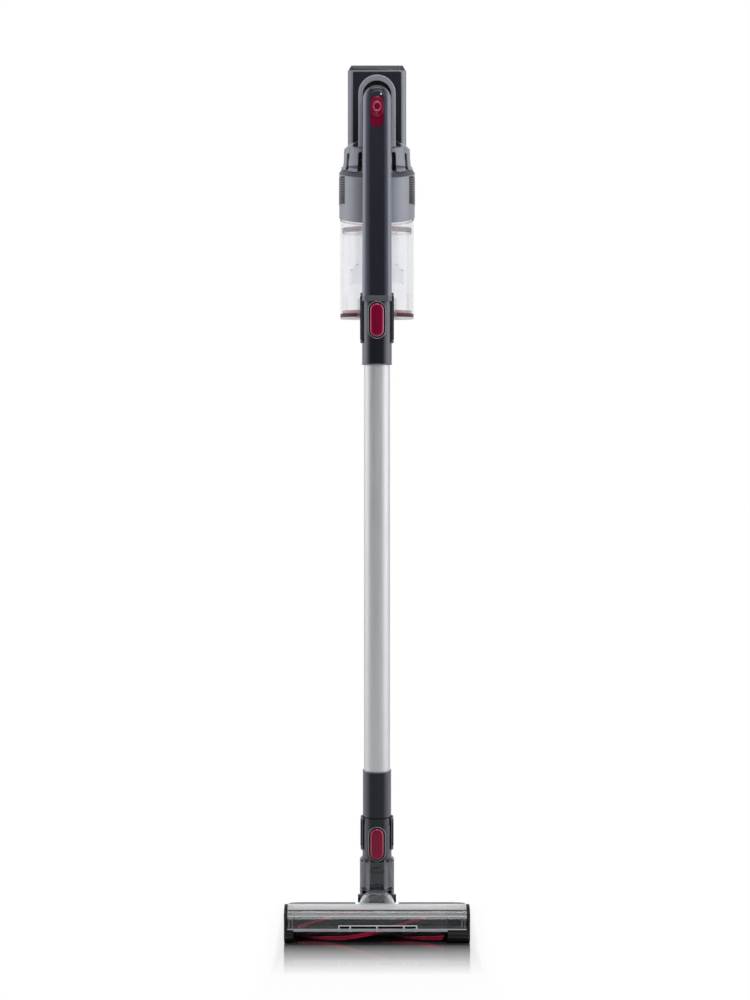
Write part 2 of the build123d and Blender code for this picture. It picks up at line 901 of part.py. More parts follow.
with BuildPart() as wand_tube:
    with BuildSketch(xy(sleeve_top - tube_engage)):
        Circle(tube_r)
        Circle(tube_r - tube_wall, mode=Mode.SUBTRACT)
    extrude(amount=upper_cuff_low - sleeve_top + 2 * tube_engage)

with BuildPart() as wand_upper_cuff:
    with BuildSketch(xy(upper_cuff_low)):
        Circle(upper_cuff_r)
    extrude(amount=upper_cuff_top - upper_cuff_low)
    chamfer(wand_upper_cuff.edges().sort_by(Axis.Z)[0], (upper_cuff_r - tube_r) / 2)
    with BuildSketch(xy(upper_pad_low)):
        pad_outline(upper_pad_r, duct_r)
    extrude(amount=upper_pad_high - upper_pad_low)
    with BuildSketch(xy(upper_cuff_top)):
        Rectangle(2 * (spine_low_half + side_gap), 4 * upper_cuff_r)
    extrude(amount=upper_pad_high - upper_cuff_top, mode=Mode.SUBTRACT)
    with BuildSketch(xz(0)):
        button_outline(upper_button_width, upper_button_low, upper_button_high, button_gap)
    extrude(amount=2 * upper_cuff_r, mode=Mode.SUBTRACT)
    with BuildSketch(xy(upper_cuff_low + tube_engage)):
        Circle(upper_cuff_r - button_depth)
    extrude(amount=upper_cuff_top - upper_cuff_low - tube_engage)
    with BuildSketch(xy(upper_cuff_low)):
        Circle(duct_r)
    extrude(amount=upper_cuff_top - upper_cuff_low, mode=Mode.SUBTRACT)
    with BuildSketch(xy(upper_cuff_low)):
        Circle(tube_r)
    extrude(amount=tube_engage, mode=Mode.SUBTRACT)

with BuildPart() as upper_button:
    with BuildSketch(xz(0)):
        button_outline(upper_button_width, upper_button_low, upper_button_high, 0)
    extrude(amount=2 * upper_cuff_r)
    with BuildSketch(xy(upper_cuff_low)):
        Circle(upper_cuff_r + button_proud)
        Circle(upper_cuff_r - button_inset, mode=Mode.SUBTRACT)
    extrude(amount=upper_cuff_top - upper_cuff_low, mode=Mode.INTERSECT)


def tombstone(low_half, top_half, low, top):
    """Upright outline that narrows evenly to a half-round top."""
    with Locations((0, top - top_half)):
        Circle(top_half)
    with Locations((0, low)):
        Circle(low_half)
    make_hull()
    with Locations((0, low - low_half)):
        Rectangle(4 * low_half, 2 * low_half, mode=Mode.SUBTRACT)


def joint_height(y):
    """Height of the slanted joint between bin and motor housing."""
    return joint_z + (y - bin_y) * math.tan(math.radians(joint_slant))


def joint_wedge(rise, reach):
    """Side view of all that lies on one side of a plane at some rise over the slanted joint."""
    front = bin_y - 2 * ring_r
    rear = bin_y + 2 * ring_r
    Polygon(
        (front, joint_height(front) + rise),
        (rear, joint_height(rear) + rise),
        (rear, joint_height(rear) + rise + reach),
        (front, joint_height(front) + rise + reach),
        align=None,
    )


def spine_half(z):
    """Half the width of the spine at a height."""
    top_centre = spine_top - spine_top_half
    share = (z - band_top) / (top_centre - band_top)
    return spine_low_half + share * (spine_top_half - spine_low_half)


# Spine: the front duct of the handheld, with a domed top and rounded front edges
slider_middle = (slider_low + slider_high) / 2
with BuildPart() as spine_shell:
    with BuildSketch(xz(spine_rear)):
        tombstone(spine_low_half, spine_top_half, band_top, spine_top)
    extrude(amount=spine_rear - spine_front)
    fillet(spine_shell.faces().sort_by(Axis.Y)[0].edges().sort_by(Axis.Z)[1:], spine_front_r)
    with BuildSketch(xy(band_top)):
        Circle(duct_r)
    extrude(amount=inlet_z + inlet_r + bin_wall - band_top, mode=Mode.SUBTRACT)
    with BuildSketch(xz(spine_rear)):
        with Locations((0, inlet_z)):
            Circle(inlet_r)
    extrude(amount=spine_rear, mode=Mode.SUBTRACT)
    with BuildSketch(xz(spine_front + slider_recess)):
        with Locations((0, slider_middle)):
            SlotOverall(slider_high - slider_low, slider_width, rotation=90)
    extrude(amount=slider_recess, mode=Mode.SUBTRACT)

with BuildPart() as spine_band:
    with BuildSketch(xy(upper_cuff_top)):
        with Locations((0, (spine_front + spine_rear) / 2)):
            Rectangle(2 * spine_low_half, spine_rear - spine_front)
        Circle(duct_r, mode=Mode.SUBTRACT)
    extrude(amount=band_top - upper_cuff_top)
    fillet(spine_band.edges().filter_by(Axis.Z).group_by(Axis.Y)[0], spine_front_r)

# Slide switch on the front of the spine
with BuildPart() as slider_bed:
    with BuildSketch(xz(spine_front + slider_recess)):
        with Locations((0, slider_middle)):
            SlotOverall(slider_high - slider_low, slider_width, rotation=90)
    extrude(amount=slider_bed_thick)

knob_back = spine_front + slider_recess - slider_bed_thick - run_fit
knob_middle = slider_high - knob_gap - knob_height / 2
with BuildPart() as power_slider:
    with BuildSketch(xz(knob_back)):
        with Locations((0, knob_middle)):
            SlotOverall(knob_height, slider_width - 2 * knob_gap, rotation=90)
    extrude(amount=knob_thick)
    chamfer(power_slider.faces().sort_by(Axis.Y)[0].edges(), knob_thick / 4)
    with BuildSketch(xz(knob_back - knob_thick + knob_thick / 4)):
        with Locations((0, knob_middle + knob_height / 4 - slider_width / 4)):
            Circle(slider_width / 3)
    extrude(amount=knob_thick, mode=Mode.SUBTRACT)

# Arched body behind the spine, carrying the grip
pocket_half = spine_half(arch_low) + side_gap
pocket_top = spine_top - spine_top_half + arch_pocket_rise + pocket_half
with BuildPart() as rear_body:
    with BuildSketch(xz(arch_rear)):
        tombstone(arch_half, arch_half, arch_low, arch_top)
    extrude(amount=arch_rear - arch_front)
    chamfer(rear_body.faces().sort_by(Axis.Y)[0].edges().sort_by(Axis.Z)[1:], side_gap * 3)
    with BuildSketch(xz(spine_rear)):
        tombstone(pocket_half, pocket_half, arch_low, pocket_top)
    extrude(amount=spine_rear - arch_front, mode=Mode.SUBTRACT)

grip_middle = (grip_low + grip_high) / 2
with BuildPart() as grip:
    with BuildSketch(xz(battery_front)):
        with Locations((0, grip_middle)):
            RectangleRounded(2 * grip_half, grip_height, grip_round)
    extrude(amount=battery_front - arch_rear)

pad_outer = grip_half + pad_thick
with BuildPart() as grip_pad:
    with BuildSketch(xz(battery_front - grip_round)):
        with Locations((0, grip_middle)):
            RectangleRounded(2 * pad_outer, grip_height + 2 * pad_thick, grip_round + pad_thick)
            RectangleRounded(2 * grip_half, grip_height, grip_round, mode=Mode.SUBTRACT)
        with Locations((0, grip_middle + grip_height)):
            Rectangle(4 * grip_half, 2 * grip_height, mode=Mode.SUBTRACT)
    extrude(amount=battery_front - arch_rear - 2 * grip_round)

# Battery slab with its charge socket and release button
latch_z = battery_top - battery_chamfer - latch_height
with BuildPart() as battery_case:
    with BuildSketch(xz(battery_rear)):
        with Locations((0, (battery_low + battery_top) / 2)):
            Rectangle(2 * battery_half, battery_top - battery_low)
    extrude(amount=battery_rear - battery_front)
    roof = battery_case.faces().sort_by(Axis.Z)[-1]
    chamfer(roof.edges().filter_by(Axis.Y), battery_corner, battery_cut, reference=roof)
    chamfer(battery_case.faces().sort_by(Axis.Y)[0].edges().sort_by(Axis.Z)[1:], battery_corner)
    fillet(battery_case.faces().sort_by(Axis.Y)[-1].edges(), battery_corner / 2)
    with BuildSketch(xz(battery_rear)):
        with Locations((0, socket_z)):
            Circle(socket_outer_r)
    extrude(amount=socket_depth, mode=Mode.SUBTRACT)
    with BuildSketch(xz(battery_rear)):
        with Locations((0, latch_z)):
            RectangleRounded(2 * (latch_half + side_gap), latch_height + 2 * side_gap, latch_thick)
    extrude(amount=latch_thick + latch_travel + side_gap, mode=Mode.SUBTRACT)

with BuildPart() as charge_socket:
    with BuildSketch(xz(battery_rear)):
        with Locations((0, socket_z)):
            Circle(socket_outer_r)
            Circle(socket_r, mode=Mode.SUBTRACT)
    extrude(amount=socket_depth)

with BuildPart() as battery_latch:
    with BuildSketch(xz(battery_rear)):
        with Locations((0, latch_z)):
            RectangleRounded(2 * latch_half, latch_height, latch_thick - side_gap)
    extrude(amount=latch_thick)

# Clear dust bin with a spout to the spine
cup_low = door_low + door_thick + door_gap
bin_inner = bin_r - bin_wall
with BuildPart() as bin_cup:
    with BuildSketch(xy(cup_low)):
        with Locations((0, bin_y)):
            Circle(bin_r)
    extrude(amount=joint_z + ring_r - cup_low)
    with BuildSketch(xz(bin_y)):
        with Locations((0, inlet_z)):
            Circle(inlet_r + bin_wall)
    extrude(amount=bin_y - spine_rear)
    with BuildSketch(xy(cup_low)):
        with Locations((0, bin_y)):
            Circle(bin_inner)
    extrude(amount=joint_z + ring_r - cup_low, mode=Mode.SUBTRACT)
    with BuildSketch(xz(bin_y)):
        with Locations((0, inlet_z)):
            Circle(inlet_r)
    extrude(amount=bin_y - spine_rear, mode=Mode.SUBTRACT)
    with BuildSketch(yz(-2 * ring_r)):
        joint_wedge(0, 4 * ring_r)
    extrude(amount=4 * ring_r, mode=Mode.SUBTRACT)

# Red seal between the cyclone plate and the bin
with BuildPart() as bin_top_seal:
    with BuildSketch(xy(ring_seal_low)):
        with Locations((0, bin_y)):
            Circle(bin_inner)
            Circle(bin_inner - seal_thick, mode=Mode.SUBTRACT)
    extrude(amount=ring_seal_high - ring_seal_low)

with BuildPart() as cyclone:
    with BuildSketch(yz(0)):
        with Locations((bin_y, 0)):
            Polygon(
                (cyclone_r - cyclone_wall, cyclone_low),
                (cyclone_r, cyclone_low),
                (cyclone_r, cyclone_low + cyclone_skirt),
                (cyclone_neck_r, cyclone_low + cyclone_skirt + cyclone_r - cyclone_neck_r),
                (cyclone_neck_r, ring_seal_low),
                (bin_inner - seal_thick, ring_seal_low),
                (bin_inner - seal_thick, ring_seal_high),
                (impeller_r, ring_seal_high),
                (impeller_r, ring_seal_low + cyclone_wall),
                (cyclone_neck_r - cyclone_wall, ring_seal_low + cyclone_wall),
                (cyclone_neck_r - cyclone_wall, cyclone_low + cyclone_skirt + cyclone_r - cyclone_neck_r),
                (cyclone_r - cyclone_wall, cyclone_low + cyclone_skirt),
                align=None,
            )
    revolve(axis=Axis((0, bin_y, 0), (0, 0, 1)))

# Bottom door on its hinge
hinge_z = door_low + knuckle_r
ear_half = 2 * knuckle_half
with BuildPart() as bin_door:
    with BuildSketch(xy(door_low)):
        with Locations((0, bin_y)):
            Circle(bin_r)
        with Locations((0, hinge_y - bin_r)):
            Rectangle(4 * bin_r, 2 * bin_r, mode=Mode.SUBTRACT)
        with Locations((0, hinge_y)):
            Rectangle(2 * (ear_half + side_gap), 2 * (knuckle_r + side_gap), mode=Mode.SUBTRACT)
    extrude(amount=door_thick)
    with BuildSketch(xy(door_low + door_rim)):
        with Locations((0, bin_y)):
            Circle(bin_inner - 2 * seal_thick)
    extrude(amount=door_thick - door_rim, mode=Mode.SUBTRACT)
    with BuildSketch(xy(door_low)):
        with Locations((0, hinge_y + knuckle_r)):
            Rectangle(2 * knuckle_half, 2 * knuckle_r)
    extrude(amount=door_rim)
    with BuildSketch(yz(-knuckle_half)):
        with Locations((hinge_y, hinge_z)):
            Circle(knuckle_r)
    extrude(amount=2 * knuckle_half)
    with BuildSketch(yz(-knuckle_half)):
        with Locations((hinge_y, hinge_z)):
            Circle(hinge_pin_r + run_fit)
    extrude(amount=2 * knuckle_half, mode=Mode.SUBTRACT)

with BuildPart() as door_seal:
    with BuildSketch(xy(door_low + door_thick)):
        with Locations((0, bin_y)):
            Circle(bin_inner - 2 * door_gap)
            Circle(bin_inner - 2 * seal_thick, mode=Mode.SUBTRACT)
        with Locations((0, hinge_y - bin_r)):
            Rectangle(4 * bin_r, 2 * bin_r + 2 * (knuckle_r + side_gap), mode=Mode.SUBTRACT)
    extrude(amount=door_seal_height)

with BuildPart() as door_hinge_bracket:
    with BuildSketch(xy(door_low)):
        with Locations((0, (bracket_front + hinge_y) / 2)):
            Rectangle(2 * bracket_half, hinge_y - bracket_front)
        Circle(upper_cuff_r + side_gap, mode=Mode.SUBTRACT)
        with Locations((0, spine_rear / 2)):
            Rectangle(2 * (spine_low_half + side_gap), spine_rear + 2 * seat_gap, mode=Mode.SUBTRACT)
        with Locations((0, hinge_y)):
            Rectangle(2 * bracket_half, 2 * (knuckle_r + side_gap), mode=Mode.SUBTRACT)
    extrude(amount=bracket_top - door_low)
    for start in (-ear_half, knuckle_half + side_gap):
        with BuildSketch(yz(start)):
            with Locations((hinge_y, hinge_z)):
                Circle(knuckle_r)
            with Locations((hinge_y - knuckle_r, hinge_z)):
                Rectangle(2 * knuckle_r, 2 * knuckle_r)
        extrude(amount=ear_half - knuckle_half - side_gap)
    with BuildSketch(yz(-ear_half)):
        with Locations((hinge_y, hinge_z)):
            Circle(hinge_pin_r)
    extrude(amount=2 * ear_half, mode=Mode.SUBTRACT)
    with BuildSketch(xy(cup_low)):
        with Locations((0, bin_y)):
            Circle(bin_r)
    extrude(amount=bracket_top - cup_low, mode=Mode.SUBTRACT)

with BuildPart() as door_hinge_pin:
    with BuildSketch(yz(-ear_half)):
        with Locations((hinge_y, hinge_z)):
            Circle(hinge_pin_r)
    extrude(amount=2 * ear_half)

# Release catch of the door, on the rear of the bin
with BuildPart() as door_latch:
    with BuildSketch(xy(cup_low + door_thick)):
        with Locations((0, bin_y)):
            Circle(bin_r + latch_thick + side_gap)
            Circle(bin_r + side_gap, mode=Mode.SUBTRACT)
        with Locations((0, bin_y + bin_r)):
            Rectangle(2 * latch_half, bin_r, mode=Mode.INTERSECT)
    extrude(amount=2 * latch_height)

# Motor housing ring with a slanted lower edge and a saddle on the spine
ring_inner = ring_r - ring_wall
dome_inner = dome_low_r - dome_wall
rib_floor = ring_r - ring_wall / 2


def rib_sectors(outer, inner):
    """Curved panels at both sides of the motor ring, in plan."""
    reach = 2 * ring_r
    rise = reach * math.tan(math.radians(rib_angle))
    with Locations((0, bin_y)):
        Circle(outer)
        Circle(inner, mode=Mode.SUBTRACT)
        for side in (-1, 1):
            Polygon(
                (0, 0),
                (reach, side * rise),
                (reach, side * 2 * reach),
                (-reach, side * 2 * reach),
                (-reach, side * rise),
                align=None,
                mode=Mode.SUBTRACT,
            )


saddle_half = 0.7 * spine_top_half
deck_reach = ring_height + 2 * ring_r
deck_cut = 0.8 * dome_inset
dome_shoulder = dome_top - dome_round
with BuildPart() as ring_hollow:
    with BuildSketch(xy(joint_z - ring_r)):
        with Locations((0, bin_y)):
            Circle(ring_inner)
    extrude(amount=deck_reach)
    with BuildSketch(yz(-2 * ring_r)):
        joint_wedge(ring_height - ring_wall, 4 * ring_r)
    extrude(amount=4 * ring_r, mode=Mode.SUBTRACT)
    deck = ring_hollow.faces().sort_by(Axis.Z)[-1]
    chamfer(deck.edges(), deck_cut, shoulder_drop, reference=deck)
    with BuildSketch(xy(joint_z)):
        with Locations((0, bin_y)):
            Circle(dome_inner)
    extrude(amount=deck_reach)

with BuildPart() as vent_cuts:
    with BuildSketch(xy(joint_z)):
        with Locations((0, bin_y)):
            with PolarLocations(dome_low_r, vent_count):
                Rectangle(4 * dome_wall, vent_width)
    extrude(amount=dome_shoulder - joint_z)
    with BuildSketch(yz(-2 * ring_r)):
        joint_wedge(ring_height + vent_rise, -4 * ring_r)
    extrude(amount=4 * ring_r, mode=Mode.SUBTRACT)

with BuildPart() as motor_housing:
    with BuildSketch(xy(joint_z - ring_r)):
        with Locations((0, bin_y)):
            Circle(ring_r)
    extrude(amount=deck_reach)
    with BuildSketch(yz(-2 * ring_r)):
        joint_wedge(ring_height, 4 * ring_r)
    extrude(amount=4 * ring_r, mode=Mode.SUBTRACT)
    deck = motor_housing.faces().sort_by(Axis.Z)[-1]
    chamfer(deck.edges(), deck_cut, shoulder_drop, reference=deck)
    with BuildSketch(xy(joint_z)):
        with Locations((0, bin_y)):
            Circle(dome_low_r)
    extrude(amount=ring_height)
    with BuildSketch(xy(ring_top)):
        with Locations((0, bin_y)):
            Circle(dome_low_r)
    extrude(amount=ring_r, mode=Mode.SUBTRACT)
    add(ring_hollow.part, mode=Mode.SUBTRACT)
    add(vent_cuts.part, mode=Mode.SUBTRACT)
    with BuildSketch(xy(joint_z)):
        with Locations((0, (spine_rear + bin_y - ring_r) / 2 + ring_wall / 2)):
            Rectangle(2 * saddle_half, bin_y - ring_r - spine_rear + ring_wall)
        with Locations((0, bin_y)):
            Circle(ring_inner, mode=Mode.SUBTRACT)
    extrude(amount=rib_high - joint_z)
    with BuildSketch(yz(-2 * ring_r)):
        joint_wedge(0, -4 * ring_r)
    extrude(amount=4 * ring_r, mode=Mode.SUBTRACT)
    with BuildSketch(xy(rib_low)):
        rib_sectors(2 * ring_r, rib_floor)
    extrude(amount=rib_high - rib_low, mode=Mode.SUBTRACT)

rib_pitch = (rib_high - rib_low) / rib_count
with BuildPart() as side_ribs:
    with BuildSketch(xy(rib_low)):
        rib_sectors((rib_floor + ring_r) / 2, rib_floor)
    extrude(amount=rib_high - rib_low)
    for i in range(rib_count):
        with BuildSketch(xy(rib_low + i * rib_pitch)):
            rib_sectors(ring_r + side_gap, rib_floor)
        extrude(amount=rib_pitch / 2)

# Slotted exhaust dome
with BuildPart() as vent_dome:
    with BuildSketch(yz(0)):
        with Locations((bin_y, 0)):
            Polygon(
                (0, dome_top),
                (dome_high_r - dome_round, dome_top),
                (dome_high_r, dome_shoulder),
                (dome_low_r, ring_top),
                (dome_low_r - dome_wall, ring_top),
                (dome_high_r - dome_wall, dome_shoulder),
                (dome_high_r - dome_round - dome_wall / 2, dome_top - dome_wall),
                (0, dome_top - dome_wall),
                align=None,
            )
    revolve(axis=Axis((0, bin_y, 0), (0, 0, 1)))
    add(vent_cuts.part, mode=Mode.SUBTRACT)
    with BuildSketch(xy(dome_top - dome_wall)):
        with Locations((0, bin_y)):
            with PolarLocations(dome_high_r - 3 * dome_round, vent_count):
                Rectangle(2 * dome_round, vent_width / 2)
    extrude(amount=dome_wall, mode=Mode.SUBTRACT)

with BuildPart() as exhaust_filter:
    with BuildSketch(xy(vent_low + dome_round)):
        with Locations((0, bin_y)):
            Circle(filter_r)
            Circle(filter_bore, mode=Mode.SUBTRACT)
    extrude(amount=dome_top - dome_wall - vent_low - dome_round)

# Suction motor on its flange, with the impeller below
flange_z = (can_low + can_high) / 2
with BuildPart() as motor_can:
    with BuildSketch(xy(can_low)):
        with Locations((0, bin_y)):
            Circle(can_r)
    extrude(amount=can_high - can_low)
    with BuildSketch(xy(flange_z)):
        with Locations((0, bin_y)):
            Circle(ring_inner)
            Rectangle(2 * ring_inner, can_r, mode=Mode.INTERSECT)
    extrude(amount=ring_wall)
    with BuildSketch(xy(can_low)):
        with Locations((0, bin_y)):
            Circle(rotor_shaft_r + run_fit)
    extrude(amount=can_high - can_low, mode=Mode.SUBTRACT)

impeller_low = can_low - seat_gap - impeller_height
with BuildPart() as impeller:
    with BuildSketch(xy(impeller_low + impeller_height - ring_wall)):
        with Locations((0, bin_y)):
            Circle(impeller_r)
    extrude(amount=ring_wall)
    with BuildSketch(xy(impeller_low)):
        with Locations((0, bin_y)):
            Circle(3 * rotor_shaft_r)
            with PolarLocations(impeller_r / 2, blade_count):
                Rectangle(impeller_r, rotor_shaft_r / 2, align=(Align.CENTER, Align.CENTER), rotation=20)
    extrude(amount=impeller_height)
    with BuildSketch(xy(impeller_low)):
        with Locations((0, bin_y)):
            Circle(rotor_shaft_r)
    extrude(amount=impeller_height, mode=Mode.SUBTRACT)

with BuildPart() as motor_shaft:
    with BuildSketch(xy(impeller_low)):
        with Locations((0, bin_y)):
            Circle(rotor_shaft_r)
    extrude(amount=can_high - impeller_low)

pieces = {
    "head_base": head_base,
    "head_sole": head_sole,
    "sole_screws": sole_screws,
    "lint_strip": lint_strip,
    "head_window": head_window,
    "window_comb": window_comb,
    "head_end_cap_left": head_end_cap_left,
    "head_end_cap_right": head_end_cap_right,
    "brush_bearings": brush_bearings,
    "brush_shaft": brush_shaft,
    "brush_core": brush_core,
    "brush_pulley": brush_pulley,
    "bristle_strip_a": bristle_strip_a,
    "bristle_strip_b": bristle_strip_b,
    "bristle_strip_c": bristle_strip_c,
    "brush_motor": brush_motor,
    "motor_pulley": motor_pulley,
    "drive_belt": drive_belt,
    "wheel_axles": wheel_axles,
    "wheel_left": wheel_left,
    "wheel_right": wheel_right,
    "swivel_elbow": swivel_elbow,
    "elbow_seal": elbow_seal,
    "neck_yoke": neck_yoke,
    "pivot_pins": pivot_pins,
    "neck_cuff": neck_cuff,
    "lower_button": lower_button,
    "wand_lower_sleeve": wand_lower_sleeve,
    "wand_tube": wand_tube,
    "wand_upper_cuff": wand_upper_cuff,
    "upper_button": upper_button,
    "spine_shell": spine_shell,
    "spine_band": spine_band,
    "slider_bed": slider_bed,
    "power_slider": power_slider,
    "rear_body": rear_body,
    "grip": grip,
    "grip_pad": grip_pad,
    "battery_case": battery_case,
    "charge_socket": charge_socket,
    "battery_latch": battery_latch,
    "bin_cup": bin_cup,
    "bin_top_seal": bin_top_seal,
    "cyclone": cyclone,
    "bin_door": bin_door,
    "door_seal": door_seal,
    "door_hinge_bracket": door_hinge_bracket,
    "door_hinge_pin": door_hinge_pin,
    "door_latch": door_latch,
    "motor_housing": motor_housing,
    "side_ribs": side_ribs,
    "vent_dome": vent_dome,
    "exhaust_filter": exhaust_filter,
    "motor_can": motor_can,
    "impeller": impeller,
    "motor_shaft": motor_shaft,
}
for name, piece in pieces.items():
    piece.part.label = name
    export_step(piece.part, f"parts/{name}.step")
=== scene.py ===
import json
import math
import random

import bmesh
import bpy
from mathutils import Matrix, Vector


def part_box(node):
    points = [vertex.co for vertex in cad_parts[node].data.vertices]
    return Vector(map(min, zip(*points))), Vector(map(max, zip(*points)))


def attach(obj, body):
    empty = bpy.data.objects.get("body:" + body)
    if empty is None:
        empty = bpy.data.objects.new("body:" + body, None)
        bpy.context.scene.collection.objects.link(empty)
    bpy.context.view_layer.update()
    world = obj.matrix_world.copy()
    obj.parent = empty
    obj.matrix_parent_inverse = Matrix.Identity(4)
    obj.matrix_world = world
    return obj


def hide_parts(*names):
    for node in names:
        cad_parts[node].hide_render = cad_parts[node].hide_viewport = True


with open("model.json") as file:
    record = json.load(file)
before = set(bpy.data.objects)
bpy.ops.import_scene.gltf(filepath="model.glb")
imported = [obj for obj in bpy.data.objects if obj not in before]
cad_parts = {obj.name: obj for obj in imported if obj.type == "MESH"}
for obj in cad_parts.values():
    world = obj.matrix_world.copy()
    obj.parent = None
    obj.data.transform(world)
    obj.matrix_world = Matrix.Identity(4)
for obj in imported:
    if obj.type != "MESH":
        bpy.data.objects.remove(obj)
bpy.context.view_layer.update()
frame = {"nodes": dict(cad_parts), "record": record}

# Dressing of the cordless stick vacuum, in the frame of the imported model:
# +Z up, the front faces -Y and the wand axis is the Z axis.

MM = 0.001
SIDES = ((-1, "left"), (1, "right"))
nodes = frame["nodes"]
chance = random.Random(7)


def corners_of(node):
    """Lowest and highest corner of a CAD node, in millimetres to two places."""
    return [[round(c / MM, 2) for c in corner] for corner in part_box(node)]


def srgb(code):
    """Linear colour of a hex code as it looks on screen."""
    parts = [int(code[i : i + 2], 16) / 255 for i in (1, 3, 5)]
    return tuple(p / 12.92 if p <= 0.04045 else ((p + 0.055) / 1.055) ** 2.4 for p in parts)


# Materials


class Shader:
    """Small wrapper round one node tree, so that a material reads as a list of steps."""

    def __init__(self, name):
        self.material = bpy.data.materials.new(name)
        self.material.use_nodes = True
        self.tree = self.material.node_tree
        self.tree.nodes.clear()
        self.output = self.add("ShaderNodeOutputMaterial")
        self.principled = self.add("ShaderNodeBsdfPrincipled")
        self.link(self.principled.outputs[0], self.output.inputs["Surface"])
        self.place = self.add("ShaderNodeTexCoord").outputs["Object"]

    def add(self, kind, **settings):
        """Adds a node and sets its properties."""
        node = self.tree.nodes.new(kind)
        for key, value in settings.items():
            setattr(node, key, value)
        return node

    def link(self, source, target):
        """Links an output to an input."""
        self.tree.links.new(source, target)

    def feed(self, source, name):
        """Links a value to one input of the surface."""
        self.link(source, self.principled.inputs[name])

    def set(self, **values):
        """Sets inputs of the surface that are the same all over it."""
        for key, value in values.items():
            socket = self.principled.inputs[key.replace("_", " ")]
            socket.default_value = (*value, 1.0) if isinstance(value, tuple) else value

    def noise(self, scale, detail=3.0, stretch=(1, 1, 1)):
        """Noise in object space; scale counts features per metre."""
        mapping = self.add("ShaderNodeMapping")
        mapping.inputs["Scale"].default_value = stretch
        self.link(self.place, mapping.inputs["Vector"])
        noise = self.add("ShaderNodeTexNoise")
        noise.inputs["Scale"].default_value = scale
        noise.inputs["Detail"].default_value = detail
        self.link(mapping.outputs[0], noise.inputs["Vector"])
        return noise.outputs["Fac"]

    def axis(self, name):
        """One coordinate of the place on the object, in metres."""
        split = self.add("ShaderNodeSeparateXYZ")
        self.link(self.place, split.inputs[0])
        return split.outputs[name]

    def aside(self):
        """Distance to either side of the middle, in metres."""
        return self.math("ABSOLUTE", self.axis("X"))

    def math(self, operation, first, second=None):
        """One arithmetic step; each input is a number or a socket."""
        node = self.add("ShaderNodeMath", operation=operation)
        for socket, value in zip(node.inputs, (first, second)):
            if isinstance(value, (int, float)):
                socket.default_value = value
            elif value is not None:
                self.link(value, socket)
        return node.outputs[0]

    def spread(self, source, low, high, start=0.3, end=0.7):
        """Maps a value onto a range."""
        ramp = self.add("ShaderNodeMapRange")
        ramp.inputs["From Min"].default_value = start
        ramp.inputs["From Max"].default_value = end
        ramp.inputs["To Min"].default_value = low
        ramp.inputs["To Max"].default_value = high
        self.link(source, ramp.inputs["Value"])
        return ramp.outputs[0]

    def blend(self, factor, first, second):
        """Mixes two colours; each is a tuple or a socket."""
        mix = self.add("ShaderNodeMix", data_type="RGBA")
        self.link(factor, mix.inputs[0])
        for socket, value in ((mix.inputs[6], first), (mix.inputs[7], second)):
            if isinstance(value, tuple):
                socket.default_value = (*value, 1.0)
            else:
                self.link(value, socket)
        return mix.outputs[2]

    def edges(self, radius):
        """Mask that is bright along edges, and the rounded normal it comes from."""
        bevel = self.add("ShaderNodeBevel", samples=6)
        bevel.inputs["Radius"].default_value = radius
        geometry = self.add("ShaderNodeNewGeometry")
        dot = self.add("ShaderNodeVectorMath", operation="DOT_PRODUCT")
        self.link(bevel.outputs[0], dot.inputs[0])
        self.link(geometry.outputs["Normal"], dot.inputs[1])
        mask = self.spread(dot.outputs["Value"], 1.0, 0.0, 0.72, 0.995)
        return mask, bevel.outputs[0]

    def bump(self, height, strength, distance, normal=None):
        """Fine relief on the surface, over the given normal."""
        node = self.add("ShaderNodeBump")
        node.inputs["Strength"].default_value = strength
        node.inputs["Distance"].default_value = distance
        self.link(height, node.inputs["Height"])
        if normal is not None:
            self.link(normal, node.inputs["Normal"])
        self.feed(node.outputs[0], "Normal")


# Features per metre of the noises in plastic and metal, and how far wearing, and on the red gloss a painted
# highlight, pales an edge
CLOUDS, DRIFT, SMEARS, RUBS, GRAIN = 30, 40, 85, 420, 1400
LINES, RIPPLES = 900, 60
PALER = 0.35


def moulded(
    name, colour, rough, depth=0.05, wear_and_sheen=0.25, tint=0.05, edge=0.5, two_tone_and_sheen=None, other=None, **values
):
    """Moulded plastic or painted finish: fine grain, uneven gloss, slight colour drift, paler edges that show
    wearing and, on the red gloss, a painted highlight.

    The mask function makes a mask from the shader, and the masked part takes the other colour: two-tone
    colouring on some parts, painted reflection on the sides of the spine and cuffs.
    edge is the rounding in millimetres, and 0 leaves out both rounding and the paler edges."""
    shader = Shader(name)
    drift = shader.spread(shader.noise(DRIFT), 1 - 0.5 * tint, 1 + 0.5 * tint)
    darker = tuple(c * (1 - tint) for c in colour)
    base = shader.blend(shader.spread(shader.noise(CLOUDS), 0, 1), colour, darker)
    if two_tone_and_sheen:
        base = shader.blend(two_tone_and_sheen(shader), base, other)
    rounded = None
    if edge:
        brighter = other if other and sum(other) > sum(colour) else colour
        worn_and_sheen = tuple(min(1.0, c + wear_and_sheen * (1 - c) * PALER) for c in brighter)
        mask, rounded = shader.edges(edge * MM)
        rub_and_sheen = shader.math("MULTIPLY", mask, shader.spread(shader.noise(RUBS), 0.15, 0.9))
        base = shader.blend(rub_and_sheen, base, worn_and_sheen)
    shader.feed(base, "Base Color")
    smears = shader.spread(shader.noise(SMEARS, 4), rough * 0.94, rough * 1.06)
    uneven = shader.math("MULTIPLY", smears, drift)
    shader.feed(uneven, "Roughness")
    shader.bump(shader.noise(GRAIN, 2), depth, 0.1 * MM, rounded)
    shader.set(**values)
    return shader.material


